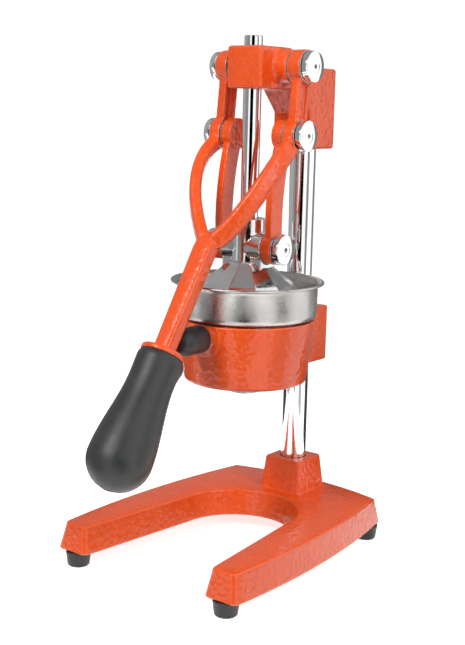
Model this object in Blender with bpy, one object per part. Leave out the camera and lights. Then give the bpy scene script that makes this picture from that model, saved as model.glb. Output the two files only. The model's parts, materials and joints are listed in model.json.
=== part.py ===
"""Hand-lever citrus press.

A cast U-shaped base carries one chrome post. A cast head and a cast bowl holder clamp round the post.
The lever turns on two pins in the head and drives a press cone down a guide rod through two links.
Sizes are in metres, +Z is up, the handle hangs to -Y, and the origin is under the middle of the whole press.
"""
from math import acos, cos, pi, radians, sin, sqrt

import bmesh
import bpy
from mathutils import Matrix, Vector

# Fits
GAP = 0.0003                 # between pieces that touch
RUNNING = 0.0003             # round a shaft that turns or slides in a bore
THREAD_FIT = 0.0003          # round a screw's shank
THREAD_END = 0.0010          # room past a screw's end
PAST = 0.0100            # how far a cutter runs past the faces that it opens
PIN_EDGE = 0.0005            # small broken edges
TURNED_EDGE = 0.0008

# Base casting
BASE_FRONT = 0.2024          # post axis to the front ends of the legs
BASE_HALF_FRONT = 0.0895
BASE_HALF_REAR = 0.0784
BASE_BOW = 0.0086            # how far the legs' outer sides bow out
BASE_REAR = 0.0200           # post axis to the rear corners
BASE_REAR_BULGE = 0.0124
BASE_THICK = 0.02225
BASE_DRAFT = 0.0039
BASE_EDGE = 0.0020
BASE_CORNER = 0.0050
LEG_INNER_FRONT = 0.0600
ARCH_HALF = 0.0475
ARCH_CENTRE = 0.0850         # post axis to the centre of the arch's ellipse
ARCH_DEPTH = 0.0495
PEDESTAL_HALF = 0.0205
PEDESTAL_TAPER = 0.0027
PEDESTAL_HEIGHT = 0.0284
PEDESTAL_CORNER = 0.0030

# Feet
FOOT_HEIGHT = 0.0122
FOOT_TOP_RADIUS = 0.0102
FOOT_BOTTOM_RADIUS = 0.0088
FOOT_X = {"front": 0.0748, "rear": 0.0705}
FOOT_Y = {"front": -0.1935, "rear": 0.0115}      # from the post axis
FOOT_SCREW_RADIUS = 0.0020
FOOT_SCREW_HEAD = 0.0042
FOOT_SCREW_HEAD_THICK = 0.0028
FOOT_SCREW_SEAT = 0.0050
FOOT_SCREW_LENGTH = 0.0190
FOOT_EDGE = 0.0007

# Post and its bolt
POST_RADIUS = 0.01093
POST_CHAMFER = 0.0008
POST_BOLT_RADIUS = 0.0040
POST_BOLT_LENGTH = 0.0270
POST_BOLT_HEAD = 0.0065
POST_BOLT_HEAD_THICK = 0.0050
POST_WASHER_RADIUS = 0.0100
POST_WASHER_THICK = 0.0015
POST_LEDGE = 0.0050          # metal between the bolt's recess and the post's socket
POST_RECESS = 0.0085
POST_RECESS_ROOM = 0.0015    # round the washer

# Head casting
HEAD_HALF = 0.0166
HEAD_BOTTOM = 0.3800
HEAD_HEIGHT = 0.0330
HEAD_FRONT_WALL = 0.0123     # guide rod axis to the head's front face
HEAD_SLOPE_START = 0.0130    # top pivot to where the arm's top starts to fall
CLAMP_HALF = 0.0188
CLAMP_HEIGHT = 0.0663
CLAMP_TOP_DROP = 0.0142      # head top to the clamp's top
CLAMP_ROOF = 0.0125          # metal over the post's end
GUSSET = 0.0180
CAST_EDGE = 0.0025
SET_SCREW_RADIUS = 0.0040
SET_SCREW_SOCKET = 0.0020
SET_SCREW_SOCKET_DEPTH = 0.0035
SET_SCREW_SUNK = 0.0006      # how far the screws end inside the clamp's rear face

# Guide rod and press cone
ROD_REACH = 0.06427          # the post's near face to the guide rod axis
ROD_RADIUS = 0.00728
ROD_ABOVE_HEAD = 0.0080
ROD_CHAMFER = 0.0009
HUB_RADIUS = 0.0133
HUB_ABOVE_PIVOT = 0.0232
BELL_SIDES = 12
BELL_TOP_RADIUS = 0.0155
BELL_RIM_RADIUS = 0.0475
BELL_HEIGHT = 0.0370
BELL_WALL = 0.0030
BELL_BELOW_PIVOT = 0.0119
BELL_ROOF_THICK = 0.0090
ROD_SEAT_LIFT = 0.0010       # bell's top to the foot of the rod's socket
EAR_WEB = 0.0100             # how far the ears' web reaches down into the bell
EAR_RADIUS = 0.0125
EAR_HALF = 0.0198
CONE_SCREW_RADIUS = 0.0030
CONE_SCREW_HEAD = 0.0058
CONE_SCREW_HEAD_THICK = 0.0034
CONE_SCREW_LENGTH = 0.0220
CONE_SCREW_EDGE = 0.0012
CONE_SCREW_SOCKET = 0.0023
CONE_SCREW_SOCKET_DEPTH = 0.0020
CONE_SCREW_ROOM = 0.0060     # round the screw's head under the bell's roof

# Toggle linkage, at rest, with the handle down
TOP_PIVOT_BEHIND = 0.0170    # guide rod axis back to the lever's pivot in the head
TOP_PIVOT_RISE = 0.0177      # above the head's underside
MID_PIVOT_BEHIND = 0.0110
MID_PIVOT_DROP = 0.0534      # top pivot down to the middle pivot
LOW_PIVOT_RISE = 0.0579      # above the holder's top, so that the cone sits in the bowl
TRUNNION_RADIUS = 0.0132
TRUNNION_HALF = 0.0286
WASHER_THICK = 0.0008
WASHER_RADIUS = 0.0126
PIN_RADIUS = 0.0050
PIN_HEAD_RADIUS = 0.01213
PIN_HEAD_THICK = 0.0060
PIN_SOCKET = 0.0022
PIN_SOCKET_DEPTH = 0.0024
PIN_BORE_DEPTH = 0.0140
EAR_BORE_DEPTH = 0.0080

# Links
LINK_EYE_RADIUS = 0.0125
LINK_EYE_THICK = 0.0095
LINK_BAR_THICK = 0.0062
LINK_BAR_WIDTH = 0.0160
LINK_BOW = 0.0050

# Lever casting and grip
LEVER_EYE_RADIUS = 0.0132
LEVER_EYE_THICK = 0.0106
SPOT_FACE = 0.0137           # radius kept clear round each pin head and washer
SPOT_FACE_REACH = 0.0120
PIN_BORE_PAST = 0.0050       # how far a bore's cutter runs past the eye's faces
EYE_TRIM = 0.0004            # cut off each side of an eye to leave flat faces
RIB_THICK = 0.0065
RIB_WIDTH = 0.0160
RIB_EDGE = 0.0012
ARM_BROAD = 0.0145
ARM_THIN = 0.0095
ARM_TURN = radians(49)       # the arms' broad faces, turned from straight ahead towards the sides
ARM_BULGE = 0.0095           # how far the arms stand out sideways of their bosses
ARM_ROOT = 0.0050            # boss axis to the arm's start, forward and down
FORK_DROP = 0.1357           # top pivot down to the fork's junction
FORK_REACH = 0.0698          # top pivot forward to the fork's junction
FORK_GAP = 0.0055            # the arms' centre lines at the junction, from the middle
HANDLE_PITCH = radians(56.7)
STEM_WIDE_TOP = 0.0190
STEM_WIDE_END = 0.0155
STEM_THICK = 0.0140
STEM_LENGTH = 0.0930
STEM_BEHIND = 0.0080         # how far the stem starts behind the junction
JOIN = 0.0010                # overlap of two pieces of one casting
COLLAR_RADIUS = 0.0173
COLLAR_THICK = 0.0045
COLLAR_EDGE = 0.0010
GRIP_LENGTH = 0.1080
GRIP_TOP_RADIUS = 0.0180
GRIP_WAIST = 0.0178
GRIP_BULB = 0.0248
GRIP_FLARE = 0.0026          # finger stop near the grip's top, on its rear side
GRIP_FLARE_AT = 0.06         # as a share of the grip's length
GRIP_FLARE_SPREAD = 0.10
GRIP_EDGE_AT = 0.03
GRIP_EDGE = 0.0012
GRIP_WAIST_AT = 0.18
TANG_RADIUS = 0.0060
TANG_LENGTH = 0.0850

# Bowl holder and bumper
HOLDER_DROP = 0.1830         # the head's underside down to the ring's top
HOLDER_HEIGHT = 0.0519
HOLDER_TOP_RADIUS = 0.0565
HOLDER_BOTTOM_RADIUS = 0.0503
HOLDER_EDGE = 0.0040
HOLDER_LIP = 0.0008
HOLDER_WALL_TOP = 0.0045
HOLDER_WALL_BOTTOM = 0.0068
HOLDER_LEDGE_DEPTH = 0.0140
HOLDER_LEDGE = 0.0055
HOLDER_CLAMP_HEIGHT = 0.0480
HOLDER_CLAMP_TOP = 0.0010    # the clamp block's top above the ring's
HOLDER_CLAMP_ROOT = 0.0081   # how far the block reaches into the ring from its outer face
HOLDER_CLAMP_EDGE = 0.0015
BOWL_ROOM = 0.0010           # between the block and the bowl
STUB_RADIUS = 0.0066
STUB_FLARE = 0.0150
STUB_COLLAR = 0.0035
STUB_COLLAR_EDGE = 0.0005
STUB_STEP = 0.0020           # the bumper's radius above the flare's end
BUMPER_Z_DROP = 0.0100       # ring top down to the bumper's axis
BUMPER_RADIUS = 0.0110
BUMPER_ROOF = 0.0140
BUMPER_EDGE = 0.0018

# Strainer bowl and funnel
SHEET = 0.0012
BOWL_RIM_RADIUS = 0.0626
BOWL_RADIUS = 0.0573
BOWL_HEIGHT = 0.0310         # ring top to the rim's top
BOWL_FLARE = 0.0055
BOWL_EDGE = 0.0058
RIM_LIP = 0.0008
RIM_STEP = 0.0018
SPIGOT_ROOM = 0.0006
BOWL_SPIGOT_DEPTH = 0.0072
DOME_RADIUS = 0.0360
DOME_HEIGHT = 0.0270
STRAINER_HOLE = 0.0020
FLOOR_HOLES = 16
DOME_HOLES = 12
FUNNEL_MOUTH = 0.0450
FUNNEL_SPOUT = 0.0120
FUNNEL_CONE_HEIGHT = 0.0310
FUNNEL_BELOW_RING = 0.0100
FUNNEL_ROOM = 0.0007
FUNNEL_BEND = 0.0008

# Facets
FINE = 40
ROUND = 24
SMALL = 12
TINY = 8


def lerp(a, b, t):
    return a + (b - a) * t


def handle_radius(t):
    """The grip's radius at t along it, from its top (0) to its tip (1)."""
    bulb_at = 1 - GRIP_BULB / GRIP_LENGTH
    if t > bulb_at:
        past = (t - bulb_at) * GRIP_LENGTH
        return sqrt(max(0.0, GRIP_BULB ** 2 - past ** 2))
    if t < GRIP_EDGE_AT:
        return lerp(GRIP_TOP_RADIUS - GRIP_EDGE, GRIP_TOP_RADIUS, t / GRIP_EDGE_AT)
    if t < GRIP_WAIST_AT:
        return lerp(GRIP_TOP_RADIUS, GRIP_WAIST, t / GRIP_WAIST_AT)
    swell = (t - GRIP_WAIST_AT) / (bulb_at - GRIP_WAIST_AT)
    return lerp(GRIP_WAIST, GRIP_BULB, swell * swell * (3 - 2 * swell))


GRIP_STATIONS = [0, 0.03, 0.07, 0.12, 0.18, 0.28, 0.38, 0.48, 0.58, 0.68, 0.77, 0.84, 0.90, 0.95, 0.985]

# Derived places. Y is first counted from the post axis, then shifted so the origin is under the middle.
COS_PITCH, SIN_PITCH = cos(HANDLE_PITCH), sin(HANDLE_PITCH)
GRIP_START = STEM_LENGTH + COLLAR_THICK + GAP
HANDLE_FRONT = POST_RADIUS + ROD_REACH - TOP_PIVOT_BEHIND + FORK_REACH + max(
    COS_PITCH * (GRIP_START + t * GRIP_LENGTH) + SIN_PITCH * handle_radius(t) for t in GRIP_STATIONS)
POST_Y = (max(HANDLE_FRONT, BASE_FRONT) - BASE_REAR - BASE_REAR_BULGE) / 2
ROD_Y = POST_Y - POST_RADIUS - ROD_REACH
TOP_Y = ROD_Y + TOP_PIVOT_BEHIND
MID_Y = ROD_Y + MID_PIVOT_BEHIND
HOLDER_TOP_Z = HEAD_BOTTOM - HOLDER_DROP
TOP_PIVOT_Z = HEAD_BOTTOM + TOP_PIVOT_RISE
MID_PIVOT_Z = TOP_PIVOT_Z - MID_PIVOT_DROP
LOW_PIVOT_Z = HOLDER_TOP_Z + LOW_PIVOT_RISE
BASE_BOTTOM = FOOT_HEIGHT + GAP
BASE_TOP = BASE_BOTTOM + BASE_THICK
PEDESTAL_TOP = BASE_TOP + PEDESTAL_HEIGHT
RECESS_TOP = BASE_BOTTOM + POST_RECESS
SOCKET_FLOOR = RECESS_TOP + POST_LEDGE
HEAD_TOP = HEAD_BOTTOM + HEAD_HEIGHT
CLAMP_TOP = HEAD_TOP - CLAMP_TOP_DROP
CLAMP_BOTTOM = CLAMP_TOP - CLAMP_HEIGHT
POST_TOP = CLAMP_TOP - CLAMP_ROOF
ROD_TOP = HEAD_TOP + ROD_ABOVE_HEAD
BORE = PIN_RADIUS + RUNNING
LINK_INNER = EAR_HALF + GAP
LINK_OUTER = LINK_INNER + LINK_EYE_THICK
LOW_WASHER = LINK_OUTER + GAP
LOW_HEAD = LOW_WASHER + WASHER_THICK + GAP
EYE_WASHER = TRUNNION_HALF + GAP
EYE_INNER = EYE_WASHER + WASHER_THICK + GAP
BOSS_WASHER = LINK_OUTER + GAP
BOSS_INNER = BOSS_WASHER + WASHER_THICK + GAP
EYE_OUTER = EYE_INNER + LEVER_EYE_THICK
OUTER_WASHER = EYE_OUTER + GAP
HEAD_INNER = OUTER_WASHER + WASHER_THICK + GAP
HUB_TOP = LOW_PIVOT_Z + HUB_ABOVE_PIVOT
HOLDER_BOTTOM = HOLDER_TOP_Z - HOLDER_HEIGHT
BOWL_FLOOR = HOLDER_TOP_Z + GAP
RIM_TOP = HOLDER_TOP_Z + BOWL_HEIGHT
HOLDER_BORE = HOLDER_TOP_RADIUS - HOLDER_WALL_TOP
LEDGE_Z = HOLDER_TOP_Z - HOLDER_LEDGE_DEPTH
BELL_TOP = LOW_PIVOT_Z - BELL_BELOW_PIVOT
BELL_RIM = BELL_TOP - BELL_HEIGHT
BELL_ROOF = BELL_TOP - BELL_ROOF_THICK
ROD_SEAT = BELL_TOP + ROD_SEAT_LIFT
JUNCTION = Vector((0, TOP_Y - FORK_REACH, TOP_PIVOT_Z - FORK_DROP))
HANDLE_DIR = Vector((0, -COS_PITCH, -SIN_PITCH))
HANDLE_FACE = Vector((0, -SIN_PITCH, COS_PITCH))
SIDE = Vector((1, 0, 0))
SIDES = {"left": -1, "right": 1}


def material(name, colour, roughness, metallic=0.0):
    found = bpy.data.materials.get(name)
    if found:
        return found
    made = bpy.data.materials.new(name)
    made.use_nodes = True
    shader = made.node_tree.nodes["Principled BSDF"]
    shader.inputs["Base Color"].default_value = (*colour, 1)
    shader.inputs["Roughness"].default_value = roughness
    shader.inputs["Metallic"].default_value = metallic
    made.diffuse_color = (*colour, 1)
    return made


def orange_enamel():
    return material("orange_enamel", (0.90, 0.085, 0.006), 0.30)


def chrome():
    return material("chrome", (0.83, 0.84, 0.85), 0.06, 1.0)


def brushed_steel():
    return material("brushed_steel", (0.62, 0.61, 0.59), 0.30, 1.0)


def zinc():
    return material("zinc", (0.45, 0.46, 0.47), 0.35, 1.0)


def black_rubber():
    return material("black_rubber", (0.018, 0.019, 0.019), 0.55)


def charcoal_grip():
    return material("charcoal_grip", (0.045, 0.048, 0.046), 0.42)


# ---------------------------------------------------------------- solids

def clean(bm):
    bmesh.ops.remove_doubles(bm, verts=bm.verts, dist=1e-6)
    bmesh.ops.recalc_face_normals(bm, faces=bm.faces)
    return bm


def pose(origin, direction):
    """A matrix that carries +Z onto direction and the origin onto origin."""
    turn = Vector(direction).to_track_quat("Z", "Y").to_matrix().to_4x4()
    return Matrix.Translation(origin) @ turn


def turned(profile, steps=ROUND, origin=(0, 0, 0), direction=(0, 0, 1), phase=0.0):
    """A solid of revolution. profile lists (radius, height) and closes on itself or on the axis."""
    bm = bmesh.new()
    verts = [bm.verts.new((radius * cos(phase), radius * sin(phase), height)) for radius, height in profile]
    edges = [bm.edges.new(pair) for pair in zip(verts, verts[1:])]
    if profile[0][0] > 0 or profile[-1][0] > 0:
        edges.append(bm.edges.new((verts[-1], verts[0])))
    bmesh.ops.spin(bm, geom=verts + edges, cent=(0, 0, 0), axis=(0, 0, 1), angle=2 * pi, steps=steps,
                   use_merge=True)
    clean(bm)
    bm.transform(pose(origin, direction))
    return bm


def cylinder(start, end, radius, steps=ROUND):
    """A plain round solid between two points."""
    start, end = Vector(start), Vector(end)
    length = (end - start).length
    return turned([(0, 0), (radius, 0), (radius, length), (0, length)], steps, start, end - start)


def loft(rings):
    """A closed solid through rings of equally many points, with a flat face on each end."""
    bm = bmesh.new()
    loops = [[bm.verts.new(point) for point in ring] for ring in rings]
    for lower, upper in zip(loops, loops[1:]):
        for i in range(len(lower)):
            j = (i + 1) % len(lower)
            bm.faces.new((lower[i], lower[j], upper[j], upper[i]))
    bm.faces.new(reversed(loops[0]))
    bm.faces.new(loops[-1])
    return clean(bm)


def prism_x(outline, half_or_range):
    """A solid with a (y, z) outline, between two x values."""
    low, high = half_or_range if isinstance(half_or_range, tuple) else (-half_or_range, half_or_range)
    return loft([[(x, y, z) for y, z in outline] for x in (low, high)])


def bevelled(bm, width, segments=2, sharpest=radians(30)):
    """Rounds the edges that turn by more than sharpest."""
    edges = [edge for edge in bm.edges if edge.calc_face_angle(0) > sharpest]
    bmesh.ops.bevel(bm, geom=edges, offset=width, segments=segments, profile=0.5, affect="EDGES",
                    clamp_overlap=True)
    return clean(bm)


def joined(pieces):
    """Several cutters in one mesh."""
    bm = bmesh.new()
    for piece in pieces:
        scratch = bpy.data.meshes.new("scratch")
        piece.to_mesh(scratch)
        bm.from_mesh(scratch)
        bpy.data.meshes.remove(scratch)
        piece.free()
    return bm


def build(name, body, finish, joins=(), cuts=(), origin=(0, 0, 0), smooth=radians(35), solver="EXACT"):
    """Makes a named object from a body, joined with and cut by other solids."""
    origin = Vector(origin)
    home = object_of(name, body, origin)
    tools = []
    for operation, solids in (("UNION", joins), ("DIFFERENCE", cuts)):
        for solid in solids:
            tool = object_of(name + "_tool", solid, Vector((0, 0, 0)))
            tool.hide_render = True
            tool.display_type = "WIRE"
            tools.append(tool)
            step = home.modifiers.new(operation.lower(), "BOOLEAN")
            step.operation = operation
            step.solver = solver
            step.object = tool
    if tools:
        bpy.context.view_layer.update()
        depsgraph = bpy.context.evaluated_depsgraph_get()
        result = bpy.data.meshes.new_from_object(home.evaluated_get(depsgraph))
        home.modifiers.clear()
        rough = home.data
        home.data = result
        result.name = name
        bpy.data.meshes.remove(rough)
        for tool in tools:
            spent = tool.data
            bpy.data.objects.remove(tool)
            bpy.data.meshes.remove(spent)
    home.data.materials.clear()
    home.data.materials.append(finish)
    home.data.shade_smooth()
    home.data.set_sharp_from_angle(angle=smooth)
    return home


def object_of(name, bm, origin):
    bm.transform(Matrix.Translation(-origin))
    mesh = bpy.data.meshes.new(name)
    bm.to_mesh(mesh)
    bm.free()
    made = bpy.data.objects.new(name, mesh)
    made.location = origin
    bpy.context.scene.collection.objects.link(made)
    return made


# ---------------------------------------------------------------- outlines

def rounded_outline(points, radii):
    """Replaces each corner that has a radius with a short arc."""
    result = []
    count = len(points)
    for i, point in enumerate(points):
        radius = radii.get(i, 0)
        here = Vector(point)
        if radius == 0:
            result.append(here)
            continue
        back = (Vector(points[i - 1]) - here).normalized()
        ahead = (Vector(points[(i + 1) % count]) - here).normalized()
        half = acos(max(-1, min(1, back.dot(ahead)))) / 2
        centre = here + (back + ahead).normalized() * radius / sin(half)
        first = here + back * radius / (sin(half) / cos(half))
        last = here + ahead * radius / (sin(half) / cos(half))
        for t in (0, 1 / 3, 2 / 3, 1):
            result.append(centre + (first.lerp(last, t) - centre).normalized() * radius)
    return result


def inset_outline(points, distance):
    """Moves every point of an anticlockwise outline inward by distance from its two sides."""
    result = []
    count = len(points)
    for i, here in enumerate(points):
        back = (here - points[i - 1]).normalized()
        ahead = (points[(i + 1) % count] - here).normalized()
        left_back = Vector((-back.y, back.x))
        left_ahead = Vector((-ahead.y, ahead.x))
        mitre = left_back + left_ahead
        result.append(here + mitre * distance / max(0.2, mitre.dot(left_back)))
    return result


def base_ring(inset, z):
    """The base in plan, anticlockwise: two bowed legs, a bulged rear edge and an arch between the legs."""
    steps = 8
    span = BASE_FRONT + BASE_REAR
    right = []
    for i in range(steps + 1):
        t = i / steps
        chord = lerp(BASE_HALF_FRONT, BASE_HALF_REAR, t)
        right.append((chord + 4 * BASE_BOW * t * (1 - t), -BASE_FRONT + span * t))
    left = [(-x, y) for x, y in reversed(right)]
    rear = []
    for i in range(1, steps):
        t = i / steps
        rear.append((BASE_HALF_REAR * (1 - 2 * t), BASE_REAR + 4 * BASE_REAR_BULGE * t * (1 - t)))
    arch = []
    arch_steps = 16
    for i in range(arch_steps + 1):
        angle = pi - pi * i / arch_steps
        arch.append((ARCH_HALF * cos(angle), -ARCH_CENTRE + ARCH_DEPTH * sin(angle)))
    inner_left, inner_right = (-LEG_INNER_FRONT, -BASE_FRONT), (LEG_INNER_FRONT, -BASE_FRONT)
    points = right + rear + left + [inner_left] + arch + [inner_right]
    first_left = len(right) + len(rear)
    corners = {0: BASE_CORNER, len(right) - 1: BASE_CORNER, first_left: BASE_CORNER,
               first_left + len(left) - 1: BASE_CORNER, first_left + len(left): BASE_CORNER,
               len(points) - 1: BASE_CORNER}
    moved = inset_outline([Vector((x, y + POST_Y)) for x, y in points], inset)
    return [(point.x, point.y, z) for point in rounded_outline(moved, corners)]


def square_ring(half, corner, z):
    corners = [(half, -half), (half, half), (-half, half), (-half, -half)]
    ring = rounded_outline(corners, {i: corner for i in range(len(corners))})
    return [(point.x, point.y + POST_Y, z) for point in ring]


# ---------------------------------------------------------------- base

def base_casting():
    slab = loft([base_ring(0, BASE_BOTTOM), base_ring(BASE_DRAFT, BASE_TOP - BASE_EDGE),
                 base_ring(BASE_DRAFT + BASE_EDGE * 0.8, BASE_TOP)])
    shoulder = PEDESTAL_HALF - PEDESTAL_TAPER
    pedestal = loft([square_ring(PEDESTAL_HALF, PEDESTAL_CORNER, BASE_TOP - BASE_EDGE),
                     square_ring(shoulder, PEDESTAL_CORNER, PEDESTAL_TOP - BASE_EDGE / 2),
                     square_ring(shoulder - BASE_EDGE / 2, PEDESTAL_CORNER - BASE_EDGE / 2, PEDESTAL_TOP)])
    socket = cylinder((0, POST_Y, SOCKET_FLOOR), (0, POST_Y, PEDESTAL_TOP + PAST), POST_RADIUS + GAP)
    hole = cylinder((0, POST_Y, BASE_BOTTOM), (0, POST_Y, PEDESTAL_TOP), POST_BOLT_RADIUS + THREAD_FIT, SMALL)
    recess = cylinder((0, POST_Y, BASE_BOTTOM - PAST), (0, POST_Y, RECESS_TOP),
                      POST_WASHER_RADIUS + POST_RECESS_ROOM)
    cuts = [socket, hole, recess]
    for place in feet_places().values():
        top = FOOT_SCREW_SEAT + FOOT_SCREW_LENGTH + THREAD_END
        cuts.append(cylinder((*place, BASE_BOTTOM - PAST), (*place, top), FOOT_SCREW_RADIUS + THREAD_FIT,
                             SMALL))
    return build("base_casting", slab, orange_enamel(), [pedestal], cuts, (0, POST_Y, 0))


def feet_places():
    return {f"foot_{end}_{side}": (sign * FOOT_X[end], POST_Y + FOOT_Y[end])
            for end in ("front", "rear") for side, sign in SIDES.items()}


def feet():
    bore = FOOT_SCREW_RADIUS + THREAD_FIT
    well = FOOT_SCREW_HEAD + THREAD_FIT
    ceiling = FOOT_SCREW_SEAT
    profile = [(well, 0), (FOOT_BOTTOM_RADIUS - FOOT_EDGE, 0), (FOOT_BOTTOM_RADIUS, FOOT_EDGE),
               (FOOT_TOP_RADIUS, FOOT_HEIGHT), (bore, FOOT_HEIGHT), (bore, ceiling), (well, ceiling)]
    head_top = ceiling - GAP
    head_bottom = head_top - FOOT_SCREW_HEAD_THICK
    shank_top = head_top + FOOT_SCREW_LENGTH
    screw = [(0, head_bottom), (FOOT_SCREW_HEAD, head_bottom), (FOOT_SCREW_HEAD, head_top),
             (FOOT_SCREW_RADIUS, head_top), (FOOT_SCREW_RADIUS, shank_top), (0, shank_top)]
    for name, place in feet_places().items():
        origin = (*place, 0)
        build(name, turned(profile, ROUND, origin), black_rubber(), origin=origin)
        build(name.replace("foot", "foot_screw"), turned(screw, SMALL, origin), zinc(), origin=origin)


def post_and_bolt():
    bottom = SOCKET_FLOOR + GAP
    bore = POST_BOLT_RADIUS + THREAD_FIT
    washer_top = RECESS_TOP - GAP
    washer_bottom = washer_top - POST_WASHER_THICK
    head_top = washer_bottom - GAP
    head_bottom = head_top - POST_BOLT_HEAD_THICK
    shank_top = washer_top + POST_BOLT_LENGTH
    bore_top = shank_top + THREAD_END
    axis = (0, POST_Y, 0)
    post = turned([(0, POST_TOP), (POST_RADIUS - POST_CHAMFER, POST_TOP),
                   (POST_RADIUS, POST_TOP - POST_CHAMFER), (POST_RADIUS, bottom), (bore, bottom),
                   (bore, bore_top), (0, bore_top)], FINE, axis)
    build("post", post, chrome(), origin=axis)
    washer = turned([(bore, washer_bottom), (POST_WASHER_RADIUS, washer_bottom),
                     (POST_WASHER_RADIUS, washer_top), (bore, washer_top)], ROUND, axis)
    build("post_washer", washer, zinc(), origin=axis)
    head = cylinder((0, POST_Y, head_bottom), (0, POST_Y, head_top), POST_BOLT_HEAD, 6)
    shank = cylinder((0, POST_Y, head_top - JOIN), (0, POST_Y, shank_top), POST_BOLT_RADIUS, SMALL)
    build("post_bolt", head, zinc(), [shank], origin=axis)


# ---------------------------------------------------------------- head

def set_screws(name, heights):
    """Hexagon-socket screws through a clamp's rear wall, with their inner ends just off the post."""
    inner = POST_Y + POST_RADIUS + GAP
    outer = POST_Y + CLAMP_HALF - SET_SCREW_SUNK
    for place, z in zip(("lower", "upper"), sorted(heights)):
        screw = cylinder((0, inner, z), (0, outer, z), SET_SCREW_RADIUS, SMALL)
        socket = cylinder((0, outer - SET_SCREW_SOCKET_DEPTH, z), (0, outer + PAST, z), SET_SCREW_SOCKET, 6)
        build(f"{name}_{place}", screw, zinc(), cuts=[socket], origin=(0, POST_Y, z))


def set_screw_holes(heights):
    return [cylinder((0, POST_Y, z), (0, POST_Y + 2 * CLAMP_HALF, z), SET_SCREW_RADIUS + THREAD_FIT, SMALL)
            for z in heights]


def head_screw_heights():
    return [CLAMP_BOTTOM + CLAMP_HEIGHT * share for share in (0.25, 0.65)]


def head_casting():
    front = ROD_Y - HEAD_FRONT_WALL
    slope_start = TOP_Y + HEAD_SLOPE_START
    clamp_front = POST_Y - CLAMP_HALF
    clamp_rear = POST_Y + CLAMP_HALF
    arm = prism_x([(front, HEAD_BOTTOM), (POST_Y, HEAD_BOTTOM), (POST_Y, CLAMP_TOP - CAST_EDGE),
                   (clamp_front, CLAMP_TOP - CAST_EDGE / 2), (slope_start, HEAD_TOP), (front, HEAD_TOP)],
                  HEAD_HALF)
    clamp = prism_x([(clamp_front, CLAMP_BOTTOM), (clamp_rear, CLAMP_BOTTOM), (clamp_rear, CLAMP_TOP),
                     (clamp_front, CLAMP_TOP), (clamp_front - GUSSET, HEAD_BOTTOM + CAST_EDGE / 2),
                     (clamp_front, HEAD_BOTTOM - GUSSET)], CLAMP_HALF)
    trunnion = cylinder((-TRUNNION_HALF, TOP_Y, TOP_PIVOT_Z), (TRUNNION_HALF, TOP_Y, TOP_PIVOT_Z),
                        TRUNNION_RADIUS, FINE)
    cuts = [cylinder((0, ROD_Y, HEAD_BOTTOM - PAST), (0, ROD_Y, HEAD_TOP + PAST), ROD_RADIUS + RUNNING, ROUND),
            cylinder((0, POST_Y, CLAMP_BOTTOM - PAST), (0, POST_Y, POST_TOP + GAP), POST_RADIUS + GAP, ROUND)]
    for sign in SIDES.values():
        cuts.append(cylinder((sign * (TRUNNION_HALF - PIN_BORE_DEPTH), TOP_Y, TOP_PIVOT_Z),
                             (sign * (TRUNNION_HALF + PAST), TOP_Y, TOP_PIVOT_Z), BORE, SMALL))
    cuts += set_screw_holes(head_screw_heights())
    build("head_casting", bevelled(arm, CAST_EDGE), orange_enamel(), [bevelled(clamp, CAST_EDGE), trunnion],
          cuts, (0, POST_Y, HEAD_BOTTOM))
    set_screws("head_set_screw", head_screw_heights())


def pin(name, sign, y, z, head_inner, shank_end):
    """A pivot pin: a disc head with a hexagon socket outside, and a shank that reaches inwards."""
    edge = PIN_EDGE
    length = head_inner - shank_end
    top = length + PIN_HEAD_THICK
    profile = [(0, 0), (PIN_RADIUS - edge, 0), (PIN_RADIUS, edge), (PIN_RADIUS, length),
               (PIN_HEAD_RADIUS - edge, length), (PIN_HEAD_RADIUS, length + edge),
               (PIN_HEAD_RADIUS, top - edge), (PIN_HEAD_RADIUS - edge, top), (0, top)]
    start = Vector((sign * shank_end, y, z))
    body = turned(profile, ROUND, start, SIDE * sign)
    outer = start + SIDE * sign * top
    socket = cylinder(outer - SIDE * sign * PIN_SOCKET_DEPTH, outer + SIDE * sign * 0.01, PIN_SOCKET, 6)
    return build(name, body, chrome(), cuts=[socket], origin=(sign * head_inner, y, z))


def washers(pivot, y, z, inner_faces):
    """Thin rings on both sides. inner_faces gives the x of each ring's inner face by its place."""
    profile = [(BORE, 0), (WASHER_RADIUS, 0), (WASHER_RADIUS, WASHER_THICK), (BORE, WASHER_THICK)]
    for side, sign in SIDES.items():
        for place, x in inner_faces.items():
            start = (sign * x, y, z)
            ring = turned(profile, ROUND, start, SIDE * sign)
            build(f"{pivot}_washer_{place}_{side}", ring, zinc(), origin=start)


def top_pivot():
    shank_end = TRUNNION_HALF - PIN_BORE_DEPTH + GAP
    for side, sign in SIDES.items():
        pin(f"top_pin_{side}", sign, TOP_Y, TOP_PIVOT_Z, HEAD_INNER, shank_end)
    washers("top", TOP_Y, TOP_PIVOT_Z, {"inner": EYE_WASHER, "outer": OUTER_WASHER})


# ---------------------------------------------------------------- lever

def oval_ring(centre, broad_dir, thin_dir, broad, thin, count=SMALL):
    """A ring of a rounded-rectangle section."""
    ring = []
    for i in range(count):
        angle = 2 * pi * (i + 0.5) / count
        c, s = cos(angle), sin(angle)
        across = abs(c) ** 0.6 * (1 if c > 0 else -1) * broad / 2
        through = abs(s) ** 0.6 * (1 if s > 0 else -1) * thin / 2
        ring.append(centre + broad_dir * across + thin_dir * through)
    return ring


def bezier(points, t):
    a, b, c, d = points
    return a * (1 - t) ** 3 + b * 3 * t * (1 - t) ** 2 + c * 3 * t * t * (1 - t) + d * t ** 3


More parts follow.
